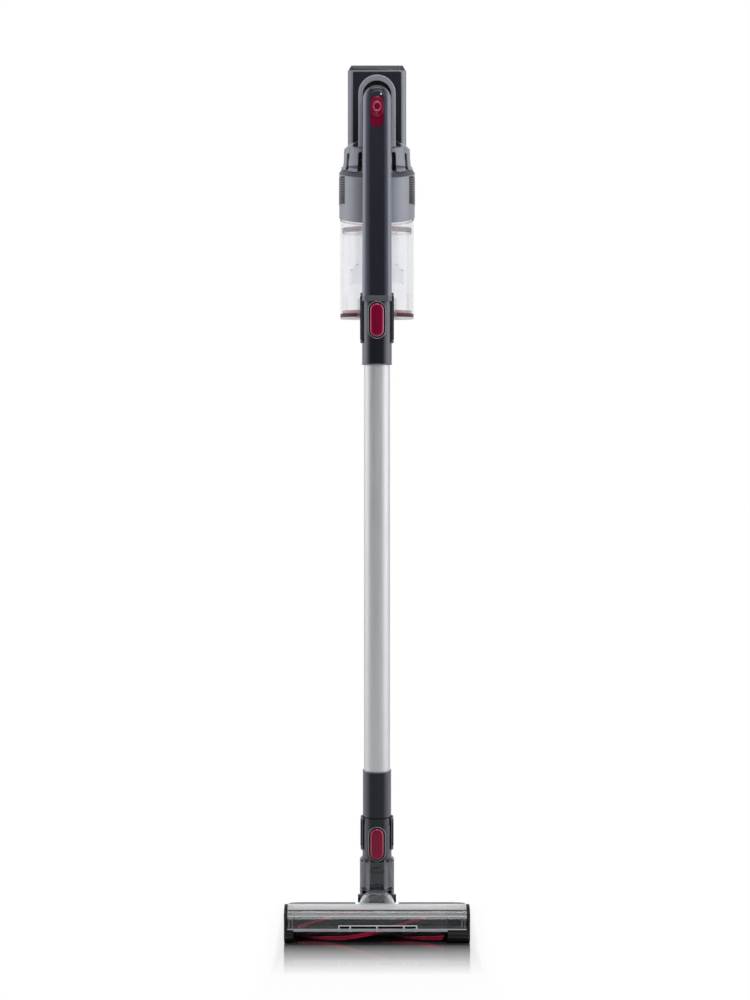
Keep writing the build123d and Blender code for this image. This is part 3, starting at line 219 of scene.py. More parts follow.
def metal(name, colour, rough, stretch, depth=0.06):
    """Drawn or turned metal with fine lines along one direction."""
    shader = Shader(name)
    streaks = shader.noise(LINES, 4, stretch)
    dark = tuple(c * 0.93 for c in colour)
    shader.feed(shader.blend(shader.spread(streaks, 0, 1), dark, colour), "Base Color")
    shader.feed(shader.spread(streaks, rough * 0.85, rough * 1.2), "Roughness")
    rounded = shader.edges(0.3 * MM)[1]
    shader.bump(streaks, depth, 0.05 * MM, rounded)
    shader.set(Metallic=1.0)
    return shader.material


def clear(name, colour, rough, weight=1.0, ior=1.45, ripple=0.03):
    """See-through plastic with a faint haze and moulding ripples."""
    shader = Shader(name)
    haze = shader.noise(RIPPLES, 4)
    tinted = tuple(c * 0.97 for c in colour)
    shader.feed(shader.blend(shader.spread(haze, 0, 1), tinted, colour), "Base Color")
    shader.feed(shader.spread(haze, rough * 0.7, rough * 1.3), "Roughness")
    shader.bump(shader.noise(RIPPLES, 1), ripple, 0.1 * MM)
    shader.set(Transmission_Weight=weight, IOR=ior)
    return shader.material


def hazy_sheen_window():
    """Window of the head: clear low down, milky towards its top and on the hood, where the paleness also
    paints the bright bands of reflection.
    """
    shader = Shader("hazy_sheen_window")
    streaks = shader.noise(90, 3, (0.1, 1, 1))
    pale = shader.blend(shader.spread(streaks, 0, 1), (0.86, 0.88, 0.91), (0.92, 0.94, 0.96))
    haze = upper_haze_and_sheen(shader)
    shader.feed(shader.blend(haze, (0.66, 0.68, 0.71), pale), "Base Color")
    shader.feed(shader.spread(haze, 1, 0.35, 0, 1), "Transmission Weight")
    shader.feed(shader.spread(streaks, 0.04, 0.09), "Roughness")
    return shader.material


def soft(name, colour, rough, grain=2600, depth=0.5, tint=0.2, **values):
    """Rubber, felt or paper: matt, with a coarse grain."""
    shader = Shader(name)
    dark = tuple(c * (1 - tint) for c in colour)
    light = tuple(min(1.0, c * (1 + tint)) for c in colour)
    speck = shader.noise(grain, 5)
    shader.feed(shader.blend(shader.spread(speck, 0, 1), dark, light), "Base Color")
    shader.feed(shader.spread(shader.noise(70), rough * 0.88, rough), "Roughness")
    shader.bump(speck, depth, 0.15 * MM)
    shader.set(**values)
    return shader.material


BLUR = 0.1  # half the width of a painted edge, in millimetres


def behind(limit):
    """Mask of what lies behind a depth."""
    return lambda s: s.spread(s.axis("Y"), 0, 1, (limit - BLUR) * MM, (limit + BLUR) * MM)


def roof(s):
    """Mask of the battery frame's sloping roof."""
    return s.spread(s.axis("Z"), 0, 1, ROOF_Z * MM, (ROOF_Z + 0.3) * MM)


def below(limit):
    """Mask of what lies under a height."""
    return lambda s: s.spread(s.axis("Z"), 1, 0, (limit - BLUR) * MM, (limit + BLUR) * MM)


RING_SLANT = math.tan(math.radians(13.0))
SHOULDER = 1021.0
BIN_Y = sum(corner[1] for corner in corners_of("bin_top_seal")) / 2
PAD_FOOT = 20.15
ARCH_FRONT_Y, DOOR_BASE_Z, ROOF_Z = 11.5, 822.2, 1171.0


def cuff_sheen(s):
    """Mask that grows from a cuff's front to its sides, whose lighter grey is painted reflection, but leaves
    out the pads that stand proud there.
    """
    side = s.spread(s.aside(), 0, 1, 8.5 * MM, 16.5 * MM)
    pads = s.spread(s.aside(), 0, 1, (PAD_FOOT - BLUR) * MM, (PAD_FOOT + BLUR) * MM)
    return s.math("SUBTRACT", side, pads)


def spine_sheen(s):
    """Mask that grows from the spine's flat front to its rounded sides, whose lighter grey is painted
    reflection.
    """
    return s.spread(s.aside(), 0, 1, 8.8 * MM, 15.5 * MM)


def upper_haze_and_sheen(s):
    """Mask of the hazy plastic, whose paleness also stands for painted reflection: the window's top, a fading
    band under its seam and the hood's two sides.
    """
    height = s.axis("Z")
    top = s.spread(height, 0, 1, 43.3 * MM, 44.2 * MM)
    fading = s.spread(height, 0.62, 0.12, 37.2 * MM, 42.6 * MM)
    band = s.math("MULTIPLY", fading, s.spread(height, 0, 1, 36.6 * MM, 37.2 * MM))
    rise = s.math("MAXIMUM", top, band)
    outer = s.spread(s.aside(), 0.12, 0.8, 9 * MM, 18 * MM)
    on_hood = s.spread(height, 0, 1, 47.3 * MM, 47.6 * MM)
    clearer = s.math("MULTIPLY", on_hood, s.math("SUBTRACT", 1.0, outer))
    return s.math("MULTIPLY", rise, s.math("SUBTRACT", 1.0, clearer))


def ring_dark(s):
    """Mask of the ring's shoulder and dome, above the slanted edge."""
    tilted = s.math("SUBTRACT", s.axis("Z"), s.math("MULTIPLY", s.axis("Y"), RING_SLANT))
    edge = (SHOULDER - BIN_Y * RING_SLANT) * MM
    return s.spread(tilted, 0, 1, edge - 0.15 * MM, edge + 0.15 * MM)


RED = srgb("#820032")
SILVER = srgb("#8c8f98")
SLATE = srgb("#454951")

# Materials by name: one for each slot of the record, then those of single nodes and pieces
look = {
    "head_shell": moulded("head_shell", srgb("#0d0e12"), 0.32, wear_and_sheen=0.1, Specular_IOR_Level=0.15),
    "clear_plastic": clear("clear_plastic", (0.96, 0.965, 0.97), 0.03),
    "smoky_clear": clear("smoky_clear", srgb("#6d7077"), 0.06),
    "black_plastic": moulded("black_plastic", srgb("#0d0e11"), 0.36, Specular_IOR_Level=0.3),
    # The lighter grey on the spine's rounded sides is painted reflection.
    "dark_gloss": moulded("dark_gloss", srgb("#252836"), 0.3, depth=0.004, edge=0, two_tone_and_sheen=spine_sheen,
                          other=srgb("#747884"), Metallic=0.4),
    # The lighter grey on the cuffs' sides is painted reflection.
    "cuff_dark": moulded("cuff_dark", srgb("#191c25"), 0.3, depth=0.006, wear_and_sheen=0.08, two_tone_and_sheen=cuff_sheen,
                         other=srgb("#63666e"), Metallic=0.4),
    "battery_dark": moulded("battery_dark", srgb("#141724"), 0.35, Specular_IOR_Level=0.25),
    # The strong paling of the red gloss's edges is a painted highlight along its rims.
    "red_gloss": moulded("red_gloss", RED, 0.22, depth=0.01, wear_and_sheen=0.4, edge=0.7, Specular_IOR_Level=0.15,
                         Coat_Weight=0.15, Coat_Roughness=0.06),
    "red_rubber": soft("red_rubber", srgb("#eebccc"), 0.5, depth=0.1, tint=0.1),
    "silver_plastic": moulded("silver_plastic", SILVER, 0.42, depth=0.02, tint=0.02, Metallic=0.4),
    "wand_metal": metal("wand_metal", srgb("#d4d5d8"), 0.5, (1, 1, 0.02), depth=0.03),
    "steel": metal("steel", srgb("#b9bbbe"), 0.28, (1, 0.05, 1)),
    "motor_metal": metal("motor_metal", srgb("#9b9da1"), 0.35, (1, 1, 0.05)),
    "black_rubber": soft("black_rubber", srgb("#1d1d1f"), 0.75, depth=0.25),
    "felt": soft("felt", srgb("#2a2a2d"), 0.95, grain=3800, depth=0.9, Sheen_Weight=0.6),
    "filter_paper": soft("filter_paper", srgb("#4c4e53"), 0.9, depth=0.4, tint=0.08),
    "bristle": soft("bristle", srgb("#ee4069"), 0.4, grain=900, depth=0.1, tint=0.2),
    "frosted": clear("frosted", (0.93, 0.935, 0.94), 0.12, weight=0.85),
    "faint_clear": clear("faint_clear", (0.96, 0.97, 0.975), 0.03, ior=1.08, ripple=0.0),
    "bin_clear": clear("bin_clear", (0.885, 0.889, 0.906), 0.03, ripple=0.01),
    "rim_grey": moulded("rim_grey", srgb("#8a8d97"), 0.36, depth=0.02, tint=0.02, two_tone_and_sheen=roof,
                        other=srgb("#383a41"), Metallic=0.2),
    # This pale colour serves the comb and, on the window's lower bead, a painted highlight.
    "pale_bead_and_highlight": moulded("pale_bead_and_highlight", srgb("#b4b7bd"), 0.25, depth=0.02, tint=0.02),
    # This white serves the comb's rail and posts and, on the window's upper bead, a painted highlight.
    "white_bead_and_highlight": moulded("white_bead_and_highlight", srgb("#e6e8ec"), 0.25, depth=0.02, tint=0.02),
    "rose_clear": clear("rose_clear", srgb("#f7e9ee"), 0.4, weight=0.93, ior=1.12, ripple=0.0),
    "hazy_sheen_window": hazy_sheen_window(),
    "arch": moulded("arch", srgb("#9699a3"), 0.28, tint=0.03, two_tone_and_sheen=behind(ARCH_FRONT_Y),
                    other=srgb("#23262e")),
    "ring": moulded("ring", SILVER, 0.42, depth=0.02, tint=0.02, two_tone_and_sheen=ring_dark, other=SLATE,
                    Metallic=0.4),
    "door": moulded("door", srgb("#54202f"), 0.4, wear_and_sheen=0.03, two_tone_and_sheen=below(DOOR_BASE_Z),
                    other=srgb("#d3d4d9"), Specular_IOR_Level=0.2),
    "dome": moulded("dome", srgb("#858892"), 0.4, depth=0.02, tint=0.02, Metallic=0.3),
    "trim": moulded("trim", srgb("#63666d"), 0.3, depth=0.02, Metallic=0.3),
    # This near-black serves real black parts, and painted shade in the gaps round the buttons and in the
    # patches on the dome.
    "black_and_painted_shade": moulded("black_and_painted_shade", srgb("#08080a"), 0.7, depth=0.02, wear_and_sheen=0.0, Specular_IOR_Level=0.1),
    # This pale red is a painted highlight on the knob's thumb ring and the buttons' rims.
    "red_painted_highlight": moulded("red_painted_highlight", srgb("#b03f62"), 0.2, depth=0.01, edge=0, Coat_Weight=0.4),
    "light_lens": moulded("light_lens", srgb("#f4f5f7"), 0.2, Emission_Color=(1.0, 1.0, 1.0),
                          Emission_Strength=0.3),
}

# Nodes whose look differs from their slot's
special = {
    "rear_body": "arch",
    "motor_housing": "ring",
    "cyclone": "faint_clear",
    "door_hinge_bracket": "frosted",
    "bin_door": "door",
    "head_window": "hazy_sheen_window",
    "spine_band": "trim",
    "bin_cup": "bin_clear",
    "vent_dome": "dome",
    "window_comb": "pale_bead_and_highlight",
}
for row in frame["record"]["subparts"]:
    mesh = nodes[row["node"]].data
    mesh.materials.clear()
    mesh.materials.append(look[special.get(row["node"], row["material_slot"])])


# Mesh building


class Form:
    """Mesh under construction, in millimetres, with a material number for each face."""

    def __init__(self):
        self.points = []
        self.faces = []
        self.kinds = []

    def loft(self, rings, kinds=0, loop=False):
        """Skins rings of equally many points, with end caps or as a loop.

        kinds is one material number, or one for each band."""
        start = len(self.points)
        count = len(rings[0])
        for ring in rings:
            self.points += ring
        bands = len(rings) if loop else len(rings) - 1
        numbers = [kinds] * bands if isinstance(kinds, int) else kinds
        for band in range(bands):
            here = start + band * count
            there = start + (band + 1) % len(rings) * count
            for i in range(count):
                j = (i + 1) % count
                self.faces.append((here + i, here + j, there + j, there + i))
                self.kinds.append(numbers[band])
        if not loop:
            last = start + (len(rings) - 1) * count
            self.faces.append(tuple(range(start, start + count)))
            self.faces.append(tuple(range(last, last + count)))
            self.kinds += [numbers[0], numbers[-1]]

    def turn(self, profile, place, steps, kinds=0, first=0.0, last=360.0):
        """Turns a closed profile (radius, height) about an axis, all round or through an arc."""
        whole = last - first == 360.0
        count = steps if whole else steps + 1
        angles = [math.radians(first + (last - first) * i / steps) for i in range(count)]
        if whole:
            self.loft([[place(r, h, a) for a in angles] for r, h in profile], kinds, loop=True)
        else:
            self.loft([[place(r, h, a) for r, h in profile] for a in angles], kinds)

    def make(self, name, body, materials, stands_for=(), angle=35):
        """Makes the piece and lets it ride on a body."""
        mesh = bpy.data.meshes.new(name)
        mesh.from_pydata([tuple(c * MM for c in point) for point in self.points], [], self.faces)
        mesh.polygons.foreach_set("material_index", self.kinds)
        for material in materials:
            mesh.materials.append(look[material])
        skin = bmesh.new()
        skin.from_mesh(mesh)
        bmesh.ops.recalc_face_normals(skin, faces=skin.faces)
        skin.to_mesh(mesh)
        skin.free()
        mesh.shade_smooth()
        mesh.set_sharp_from_angle(angle=math.radians(angle))
        piece = bpy.data.objects.new(name, mesh)
        bpy.context.scene.collection.objects.link(piece)
        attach(piece, body)
        if stands_for:
            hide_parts(*stands_for)
        return piece


def about_bin(r, h, a):
    """Point at a radius, height and angle about the bin's axis."""
    return (r * math.cos(a), BIN_Y + r * math.sin(a), h)


def about_wand(r, h, a):
    """Point at a radius, height and angle about the wand's axis."""
    return (r * math.cos(a), r * math.sin(a), h)


def about_cross(y, z):
    """Placer for points about an axis that lies across the vacuum."""
    return lambda r, h, a: (h, y + r * math.cos(a), z + r * math.sin(a))


def stadium(half, low, high, steps=12):
    """Upright outline (x, z) with half-round ends."""
    points = []
    for i in range(steps + 1):
        a = math.pi * i / steps
        points.append((half * math.cos(a), high - half + half * math.sin(a)))
    for i in range(steps + 1):
        a = math.pi + math.pi * i / steps
        points.append((half * math.cos(a), low + half + half * math.sin(a)))
    return points


# Brush roll: fluted core and dense bristle windings
(CORE_LEFT, _, core_low), (CORE_RIGHT, core_rear, core_high) = corners_of("brush_core")
CORE_R, BRISTLE_R = (core_high - core_low) / 2, 21.6
BRUSH_Y, BRUSH_Z = core_rear - CORE_R, core_low + CORE_R
PITCH = 375.0
WINDINGS = (("a", 0), ("b", 1), ("c", -1))
FIRST_LOW = -73.0  # where winding a points straight down
COLLAR = 3.4
BARREL_R, FLUTES, FLUTE_DEPTH, BARREL_STEPS, ROUND_STEPS = 16.7, 12, 0.28, 48, 96


def brush_point(x, r, turn):
    """Point on the brush roll; the turn counts from straight up towards the rear."""
    return (x, BRUSH_Y + r * math.sin(turn), BRUSH_Z + r * math.cos(turn))


def winding_turn(x, low_x):
    """Turn at x of a winding that points straight down at low_x."""
    return math.pi + 2 * math.pi * (x - low_x) / PITCH


core = Form()
rings = []
collar = [(0.0, 15.2), (0.0, 16.2), (0.8, CORE_R), (3.0, CORE_R), (COLLAR, BARREL_R)]
barrel = CORE_RIGHT - CORE_LEFT - 2 * COLLAR
stations = [(CORE_LEFT + x, r) for x, r in collar]
stations += [(CORE_LEFT + COLLAR + barrel * i / BARREL_STEPS, BARREL_R) for i in range(1, BARREL_STEPS)]
stations += [(CORE_RIGHT - x, r) for x, r in reversed(collar)]
for x, r in stations:
    flute = FLUTE_DEPTH if r == BARREL_R else 0.0
    ring = []
    for i in range(ROUND_STEPS):
        turn = 2 * math.pi * i / ROUND_STEPS
        wave = math.cos(FLUTES * (turn - winding_turn(x, FIRST_LOW)))
        ring.append(brush_point(x, r + flute * wave, turn))
    rings.append(ring)
core.loft(rings)
core.make("roller", "brush_roll", ["black_plastic"], ["brush_core"])

BACKING = [(-1.7, -0.5), (-1.6, 0.35), (-0.8, 0.75), (0.8, 0.75), (1.6, 0.35), (1.7, -0.5)]
BACKING_STEPS = 80
TUFT_STEP, TUFT_ROWS, STRANDS = 1.6, (-0.9, 0.0, 0.9), 5


def strand_end(x, r, turn, thick):
    """Three-sided end of a strand."""
    corners = [2 * math.pi * k / 3 for k in range(3)]
    return [brush_point(x + thick * math.cos(c), r, turn + thick * math.sin(c) / r) for c in corners]


def bristles(name, node, low_x):
    """One winding: a backing strip and its strands, bunched in tufts."""
    form = Form()
    first, last = CORE_LEFT + COLLAR, CORE_RIGHT - COLLAR
    backing = []
    for i in range(BACKING_STEPS + 1):
        x = first + (last - first) * i / BACKING_STEPS
        turn = winding_turn(x, low_x)
        backing.append([brush_point(x, CORE_R + h, turn + s / CORE_R) for s, h in BACKING])
    form.loft(backing)
    tufts = int((last - first - 2) / TUFT_STEP)
    for i in range(tufts):
        for row in TUFT_ROWS:
            x = first + 1 + (last - first - 2) * (i + 0.5 * (row == 0.0)) / tufts
            turn = winding_turn(x, low_x) + row / CORE_R
            for _ in range(STRANDS):
                foot_x = x + chance.uniform(-0.45, 0.45)
                foot_turn = turn + chance.uniform(-0.3, 0.3) / CORE_R
                tip_x = foot_x + chance.uniform(-0.75, 0.75)
                tip_turn = foot_turn + chance.uniform(-0.8, 0.8) / CORE_R
                tip_r = BRISTLE_R - abs(chance.gauss(0, 0.22))
                foot = strand_end(foot_x, CORE_R + 0.5, foot_turn, 0.2)
                form.loft([foot, strand_end(tip_x, tip_r, tip_turn, 0.1)])
    form.make(name, "brush_roll", ["bristle"], [node])


for letter, step in WINDINGS:
    bristles("bristles_" + letter, "bristle_strip_" + letter, FIRST_LOW + step * PITCH / len(WINDINGS))

# Felt strip under the head, with a fuzzy uneven nap
FELT_LONG, FELT_WIDE, felt_top = corners_of("lint_strip")[1]  # the strip is centred on the axes
FELT_THICK, FELT_CORNER, NAP = felt_top / 2, 4.0, 0.14
felt = Form()
rings = []
for i in range(89):
    x = -FELT_LONG + FELT_LONG * i / 44
    inset = FELT_CORNER * (max(0.0, abs(x) - FELT_LONG + FELT_CORNER) / FELT_CORNER) ** 2
    half = FELT_WIDE - inset
    ring = []
    for j in range(28):
        a = 2 * math.pi * j / 28
        y = half * math.copysign(abs(math.cos(a)) ** 0.35, math.cos(a))
        z = FELT_THICK + FELT_THICK * math.copysign(abs(math.sin(a)) ** 0.5, math.sin(a))
        nap = chance.uniform(0, NAP)
        ring.append((x, y * (1 - 0.01 * nap), z * (1 - nap) + FELT_THICK * nap))
    rings.append(ring)
felt.loft(rings)
felt.make("lint_pad", "floor_head", ["felt"], ["lint_strip"], angle=80)

# Lip seals: each has a rounded bead and two raised lips


def lips(node, inner):
    """Section of a seal as large as its node, with two lips on its outer side and rounded edges."""
    (_, _, low), (outer, _, high) = corners_of(node)
    body = outer - 0.35
    eighth = (high - low) / 8
    lip = [(body - 0.3, 0.6 * eighth), (body, 1.2 * eighth), (outer, 2 * eighth), (body, 3 * eighth)]
    section = [(r, low + rise) for r, rise in lip] + [(r, high - rise) for r, rise in reversed(lip)]
    back = [(body - 0.9, high), (inner + 0.4, high), (inner, high - 0.4)]
    return section + back + [(r, low + high - z) for r, z in reversed(back)]


seal = Form()
seal.turn(lips("bin_top_seal", inner=46.5), about_bin, 96)
seal.make("bin_lip_seal", "upper", ["rose_clear"], ["bin_top_seal"], angle=60)
seal = Form()
seal.turn(lips("door_seal", inner=44.5), about_bin, 90, first=-59.0, last=239.0)
seal.make("door_lip_seal", "bin_door", ["red_rubber"], ["door_seal"], angle=60)
(_, front, low), (_, rear, high) = corners_of("elbow_seal")
ROLL_Z = (low + high) / 2
section = [(17.5, front + 0.25), (17.9, front), (19.2, front), (19.6, front + 0.3), (20.2, front + 0.3)]
section += [(20.6, front), (21.8, front), (22.2, front + 0.25), (22.2, rear - 0.25)]
section += [(21.8, rear), (17.9, rear), (17.5, rear - 0.25)]
seal = Form()
seal.turn(section, lambda r, h, a: (r * math.cos(a), h, ROLL_Z + r * math.sin(a)), 72)
seal.make("swivel_seal", "elbow", ["black_rubber"], ["elbow_seal"], angle=60)

# Grip pad: ribbed soft cover under the grip
(_, _, low), (GRIP_HALF, _, _) = corners_of("grip")
GRIP_ROUND = 12.0
GRIP_ROUND_Z = low + GRIP_ROUND
(_, COVER_FRONT, _), (_, COVER_REAR, high) = corners_of("grip_pad")
COVER_TOP, COVER_RIB_STEP = high - 0.3, 4.625
grip_path = []
for i in range(4):
    grip_path.append((GRIP_HALF, COVER_TOP - (COVER_TOP - GRIP_ROUND_Z) * i / 3, 1.0, 0.0))
for i in range(1, 9):
    a = math.radians(90 * i / 8)
    u, v = math.cos(a), -math.sin(a)
    grip_path.append((GRIP_HALF - GRIP_ROUND + GRIP_ROUND * u, GRIP_ROUND_Z + GRIP_ROUND * v, u, v))
grip_path += [(-x, z, -u, v) for x, z, u, v in reversed(grip_path)]
pad = Form()
rings = []
for i in range(149):
    y = COVER_FRONT + (COVER_REAR - COVER_FRONT) * i / 148
    rib = 0.5 + 0.5 * math.cos(2 * math.pi * (y - (COVER_FRONT + COVER_REAR) / 2) / COVER_RIB_STEP)
    end = min(1.0, min(y - COVER_FRONT, COVER_REAR - y) / 1.5)
    thick = 0.25 + end * (0.75 + 0.6 * rib**0.6)
    ring = []
    for k, (x, z, u, v) in enumerate(grip_path):
        edge = min(1.0, 0.35 + 0.5 * min(k, len(grip_path) - 1 - k))
        ring.append((x + u * thick * edge, y, z + v * thick * edge))
    ring += [(x + 0.02 * u, y, z + 0.02 * v) for x, z, u, v in reversed(grip_path)]
    rings.append(ring)
pad.loft(rings)
pad.make("grip_cover", "upper", ["black_rubber"], ["grip_pad"], angle=50)

# Pleated exhaust filter
(_, _, FILTER_LOW), (_, _, FILTER_HIGH) = corners_of("exhaust_filter")
FILTER_BORE = 18.0
PLEAT_FOLDS = (33.2, 36.8) * 90
pleats = Form()
rings = []
for z, inside in ((FILTER_LOW, False), (FILTER_HIGH, False), (FILTER_HIGH, True), (FILTER_LOW, True)):
    ring = []
    for i, fold in enumerate(PLEAT_FOLDS):
        a = 2 * math.pi * i / len(PLEAT_FOLDS)
        ring.append(about_bin(FILTER_BORE if inside else fold, z, a))
    rings.append(ring)
pleats.loft(rings, loop=True)
pleats.make("pleated_filter", "upper", ["filter_paper"], ["exhaust_filter"], angle=20)

# Rear wheels: soft tyre with grooves on a hard hub
low, high = corners_of("wheel_right")
WHEEL_X, WHEEL_Y, WHEEL_R = ((a + b) / 2 for a, b in zip(low, high))  # the wheels stand on the floor
hub = [(0.95, -4.2), (2.4, -4.2), (2.7, -3.6), (3.2, -3.6)]
tread = [(3.5, -4.3), (4.2, -4.5), (4.7, -4.2), (4.95, -3.6), (WHEEL_R, -3.0), (WHEEL_R, -2.2)]
tread += [(4.6, -2.0), (4.6, -1.4), (WHEEL_R, -1.2)]
section = hub + tread
section += [(r, -h) for r, h in reversed(section)]
bands = [1] * len(hub) + [0] * (2 * len(tread) - 1) + [1] * (len(hub) + 1)
for side, name in SIDES:
    tyre = Form()
    tyre.turn([(r, WHEEL_X * side + h) for r, h in section], about_cross(WHEEL_Y, WHEEL_R), 48, bands)
    materials = ["black_rubber", "black_plastic"]
    tyre.make("tyre_" + name, "wheel_" + name, materials, ["wheel_" + name])

# Slide knob with a dished thumb rest
(_, _, KNOB_LOW), (KNOB_HALF, _, KNOB_HIGH) = corners_of("power_slider")
THUMB_Z = 1100.8
section = [(0, -16.95), (0, -18.7), (-0.3, -19.6), (-1.0, -20.2), (-2.0, -20.5)]
section += [(-2.9, -20.5), (-3.6, -20.2), (-4.6, -19.5), (-6.2, -19.0), (-7.6, -18.85)]
knob = Form()
rings = []
for grow, y in section:
    outline = stadium(KNOB_HALF + grow, KNOB_LOW - grow, KNOB_HIGH + grow)
    rings.append([(x, y, z) for x, z in outline])
knob.loft(rings)
knob.make("slide_knob", "power_slider", ["red_gloss"], ["power_slider"], angle=50)

# The thumb ring's pale red is a painted highlight round the knob's dish.
thumb = Form()
thumb.turn(
    [(3.6, -19.4), (4.0, -20.2), (4.7, -20.7), (5.5, -20.7), (6.1, -20.3), (6.5, -19.4), (5.0, -18.9)],
    lambda r, h, a: (r * math.cos(a), h, THUMB_Z + 1.15 * r * math.sin(a)),
    40,
)
thumb.make("thumb_highlight_ring", "power_slider", ["red_painted_highlight"], angle=60)

# Release buttons: pillow-shaped, wrapped on their cuffs, each in a gap drawn as a black band of painted
# shade, with a pale bead round it


def wrapped(outline, radius):
    """Lays an outline (x, z) on an upright cylinder of the given radius."""
    return [(x, -math.sqrt(radius * radius - x * x), z) for x, z in outline]


PILLOW_BACK = [(-8.2, -1.9), (-5.0, -1.9), (-2.2, -1.9), (0, -1.9)]
PILLOW_FRONT = [(0, 0.1), (-0.45, 0.5), (-1.7, 1.0), (-2.6, 1.2), (-5.0, 1.3), (-8.2, 1.35)]
GAP_AND_BEAD = [(0.7, -0.4), (0.7, 0.08), (1.7, 0.1), (1.9, 0.32), (2.4, 0.32), (2.6, 0.0), (2.6, -0.4)]
LOWER_CUFF_R, UPPER_CUFF_R = (-corners_of(cuff)[0][1] for cuff in ("neck_cuff", "wand_upper_cuff"))


def release_button(name, cuff_r):
    """Button with a pale rim on its pillow, which is a painted highlight, and the gap and bead round it,
    which stay on the cuff; the black of the gap is painted shade.
    """
    (_, _, low), (half, _, high) = corners_of(name)

    def rings(section):
        outlines = [(stadium(half + grow, low - grow, high + grow), rise) for grow, rise in section]
        return [wrapped(outline, cuff_r + rise) for outline, rise in outlines]

    pillow = Form()
    # The sixth band, on the pillow's slope, takes the pale red: a painted highlight.
    pillow.loft(rings(PILLOW_BACK + PILLOW_FRONT), [0, 0, 0, 0, 0, 1, 0, 0, 0])
    pillow.make(name + "_pillow", name, ["red_gloss", "red_painted_highlight"], [name], angle=50)
    bead = Form()
    # The black inner band stands for the gap round the button: painted shade.
    bead.loft(rings(GAP_AND_BEAD), [0, 0, 1, 1, 1, 1, 0], loop=True)
    bead.make(name + "_bead", "upper", ["black_and_painted_shade", "rim_grey"], angle=50)


release_button("lower_button", LOWER_CUFF_R)
release_button("upper_button", UPPER_CUFF_R)

# Battery block: pale chamfered frame round its dark front
(_, _, low), (BLOCK_HALF, _, BLOCK_TOP) = corners_of("battery_case")
BLOCK_LOW, BLOCK_CUT_Z, BLOCK_CUT_X = low + 0.2, 1170.0, 36.0


def block_path(inset):
    """Open outline (x, z) of the block's front, up one side, over the cut corners and down."""
    side, top = BLOCK_HALF - inset, BLOCK_TOP - (1.35 * inset if inset > 5 else inset)
    left = [(-side, BLOCK_LOW), (-side, BLOCK_CUT_Z - 0.29 * inset), (-BLOCK_CUT_X + 0.57 * inset, top)]
    return left + [(-x, z) for x, z in reversed(left)]


section = [(128.2, 0.6), (123.9, 4.9), (123.6, 5.5), (123.6, 6.8)]
section += [(123.75, 7.2), (124.3, 7.2), (124.3, 5.0), (128.8, 0.7)]
rings = [[(x, y, z) for x, z in block_path(inset)] for y, inset in section]
rim = Form()
rim.loft([[ring[i] for ring in rings] for i in range(6)])
rim.make("battery_frame", "upper", ["rim_grey"])

# Small white lens on the spine, which glows faintly
LIGHT_X, LIGHT_Z = 5.3, 1117.2
lens = Form()
lens.turn(
    [(0.05, -19.5), (0.5, -19.45), (0.85, -19.25), (1.0, -19.05), (1.0, -18.6), (0.05, -18.6)],
    lambda r, h, a: (LIGHT_X + r * math.cos(a), h, LIGHT_Z + r * math.sin(a)),
    24,
)
lens.make("glowing_lens", "upper", ["light_lens"], angle=60)

# Thin lip along the ring's slanted edge, and the bright rim of the bin below the ring


def slanted(r, h, a):
    """Point about the bin's axis whose height follows the slant of the ring."""
    return (r * math.cos(a), BIN_Y + r * math.sin(a), h + RING_SLANT * r * math.sin(a))


section = [(51.7, -0.9), (52.2, -0.9), (52.35, -0.5), (52.35, 0.0), (52.15, 0.3), (51.7, 0.3)]
lip = Form()
lip.turn([(r, SHOULDER + rise) for r, rise in section], slanted, 120)
lip.make("ring_lip", "upper", ["silver_plastic"], angle=50)
section = [(50.2, 956.2), (50.9, 956.2), (51.15, 956.6), (51.15, 957.8), (50.9, 958.2), (50.2, 958.2)]
rim = Form()
rim.turn(section, slanted, 120)
rim.make("bin_rim", "upper", ["frosted"], angle=50)

# Slanted grip ribs on both sides of the ring
RIB_FOOT_R, RIB_PROUD, RIB_LOWEST, RIB_RISE, RIB_SLOPE, RIB_SWING = 51.6, 0.95, 979.5, 3.0, 3.3, 31
RIB_SECTION = ((0, -0.9), (0.8, -0.7), (1.0, -0.1), (0.8, 0.5), (0, 0.7))
for side, name in SIDES:
    ribs = Form()
    for i in range(12):
        rings = []
        for k in range(17):
            swing = math.radians(-RIB_SWING + 2 * RIB_SWING * k / 16)
            height = RIB_LOWEST + RIB_RISE * i + RIB_SLOPE * math.sin(swing)
            proud = RIB_PROUD * min(1.0, 0.25 + 0.25 * min(k, 16 - k))
            ring = []
            for out, up in RIB_SECTION:
                r = RIB_FOOT_R + out * proud
                ring.append((side * r * math.cos(swing), BIN_Y + r * math.sin(swing), height + up))
            rings.append(ring)
        ribs.loft(rings)
    ribs.make("side_grip_" + name, "upper", ["trim"], angle=40)

# Window of the head: beads along it, and its pale lower edge; the white of the bead on its upper part and the
# paleness of its lower bead are painted highlights
WINDOW_R, WINDOW_HALF = 24.4, 116.8
BEAD = ((-1, -0.2), (-0.8, 0.6), (0, 1.0), (0.8, 0.6), (1, -0.2))


def window_line(name, material, lift, half, proud, left=-WINDOW_HALF, right=WINDOW_HALF):
    """Rounded bead along the head's window, at an angle over the brush axis."""
    form = Form()
    rings = []
    for x, scale in ((left, 0.5), (left + 0.6, 1.0), (right - 0.6, 1.0), (right, 0.5)):
        ring = []
        for along, out in BEAD:
            a = math.radians(lift) + along * half * scale / WINDOW_R
            r = WINDOW_R + out * proud * scale
            ring.append((x, BRUSH_Y - r * math.cos(a), BRUSH_Z + r * math.sin(a)))
        rings.append(ring)
    form.loft(rings)
    form.make(name, "floor_head", [material], angle=60)


# This bead's paleness is a painted highlight along the cover's lower edge.
window_line("window_lower_bead", "pale_bead_and_highlight", -3.2, 0.9, 0.5)
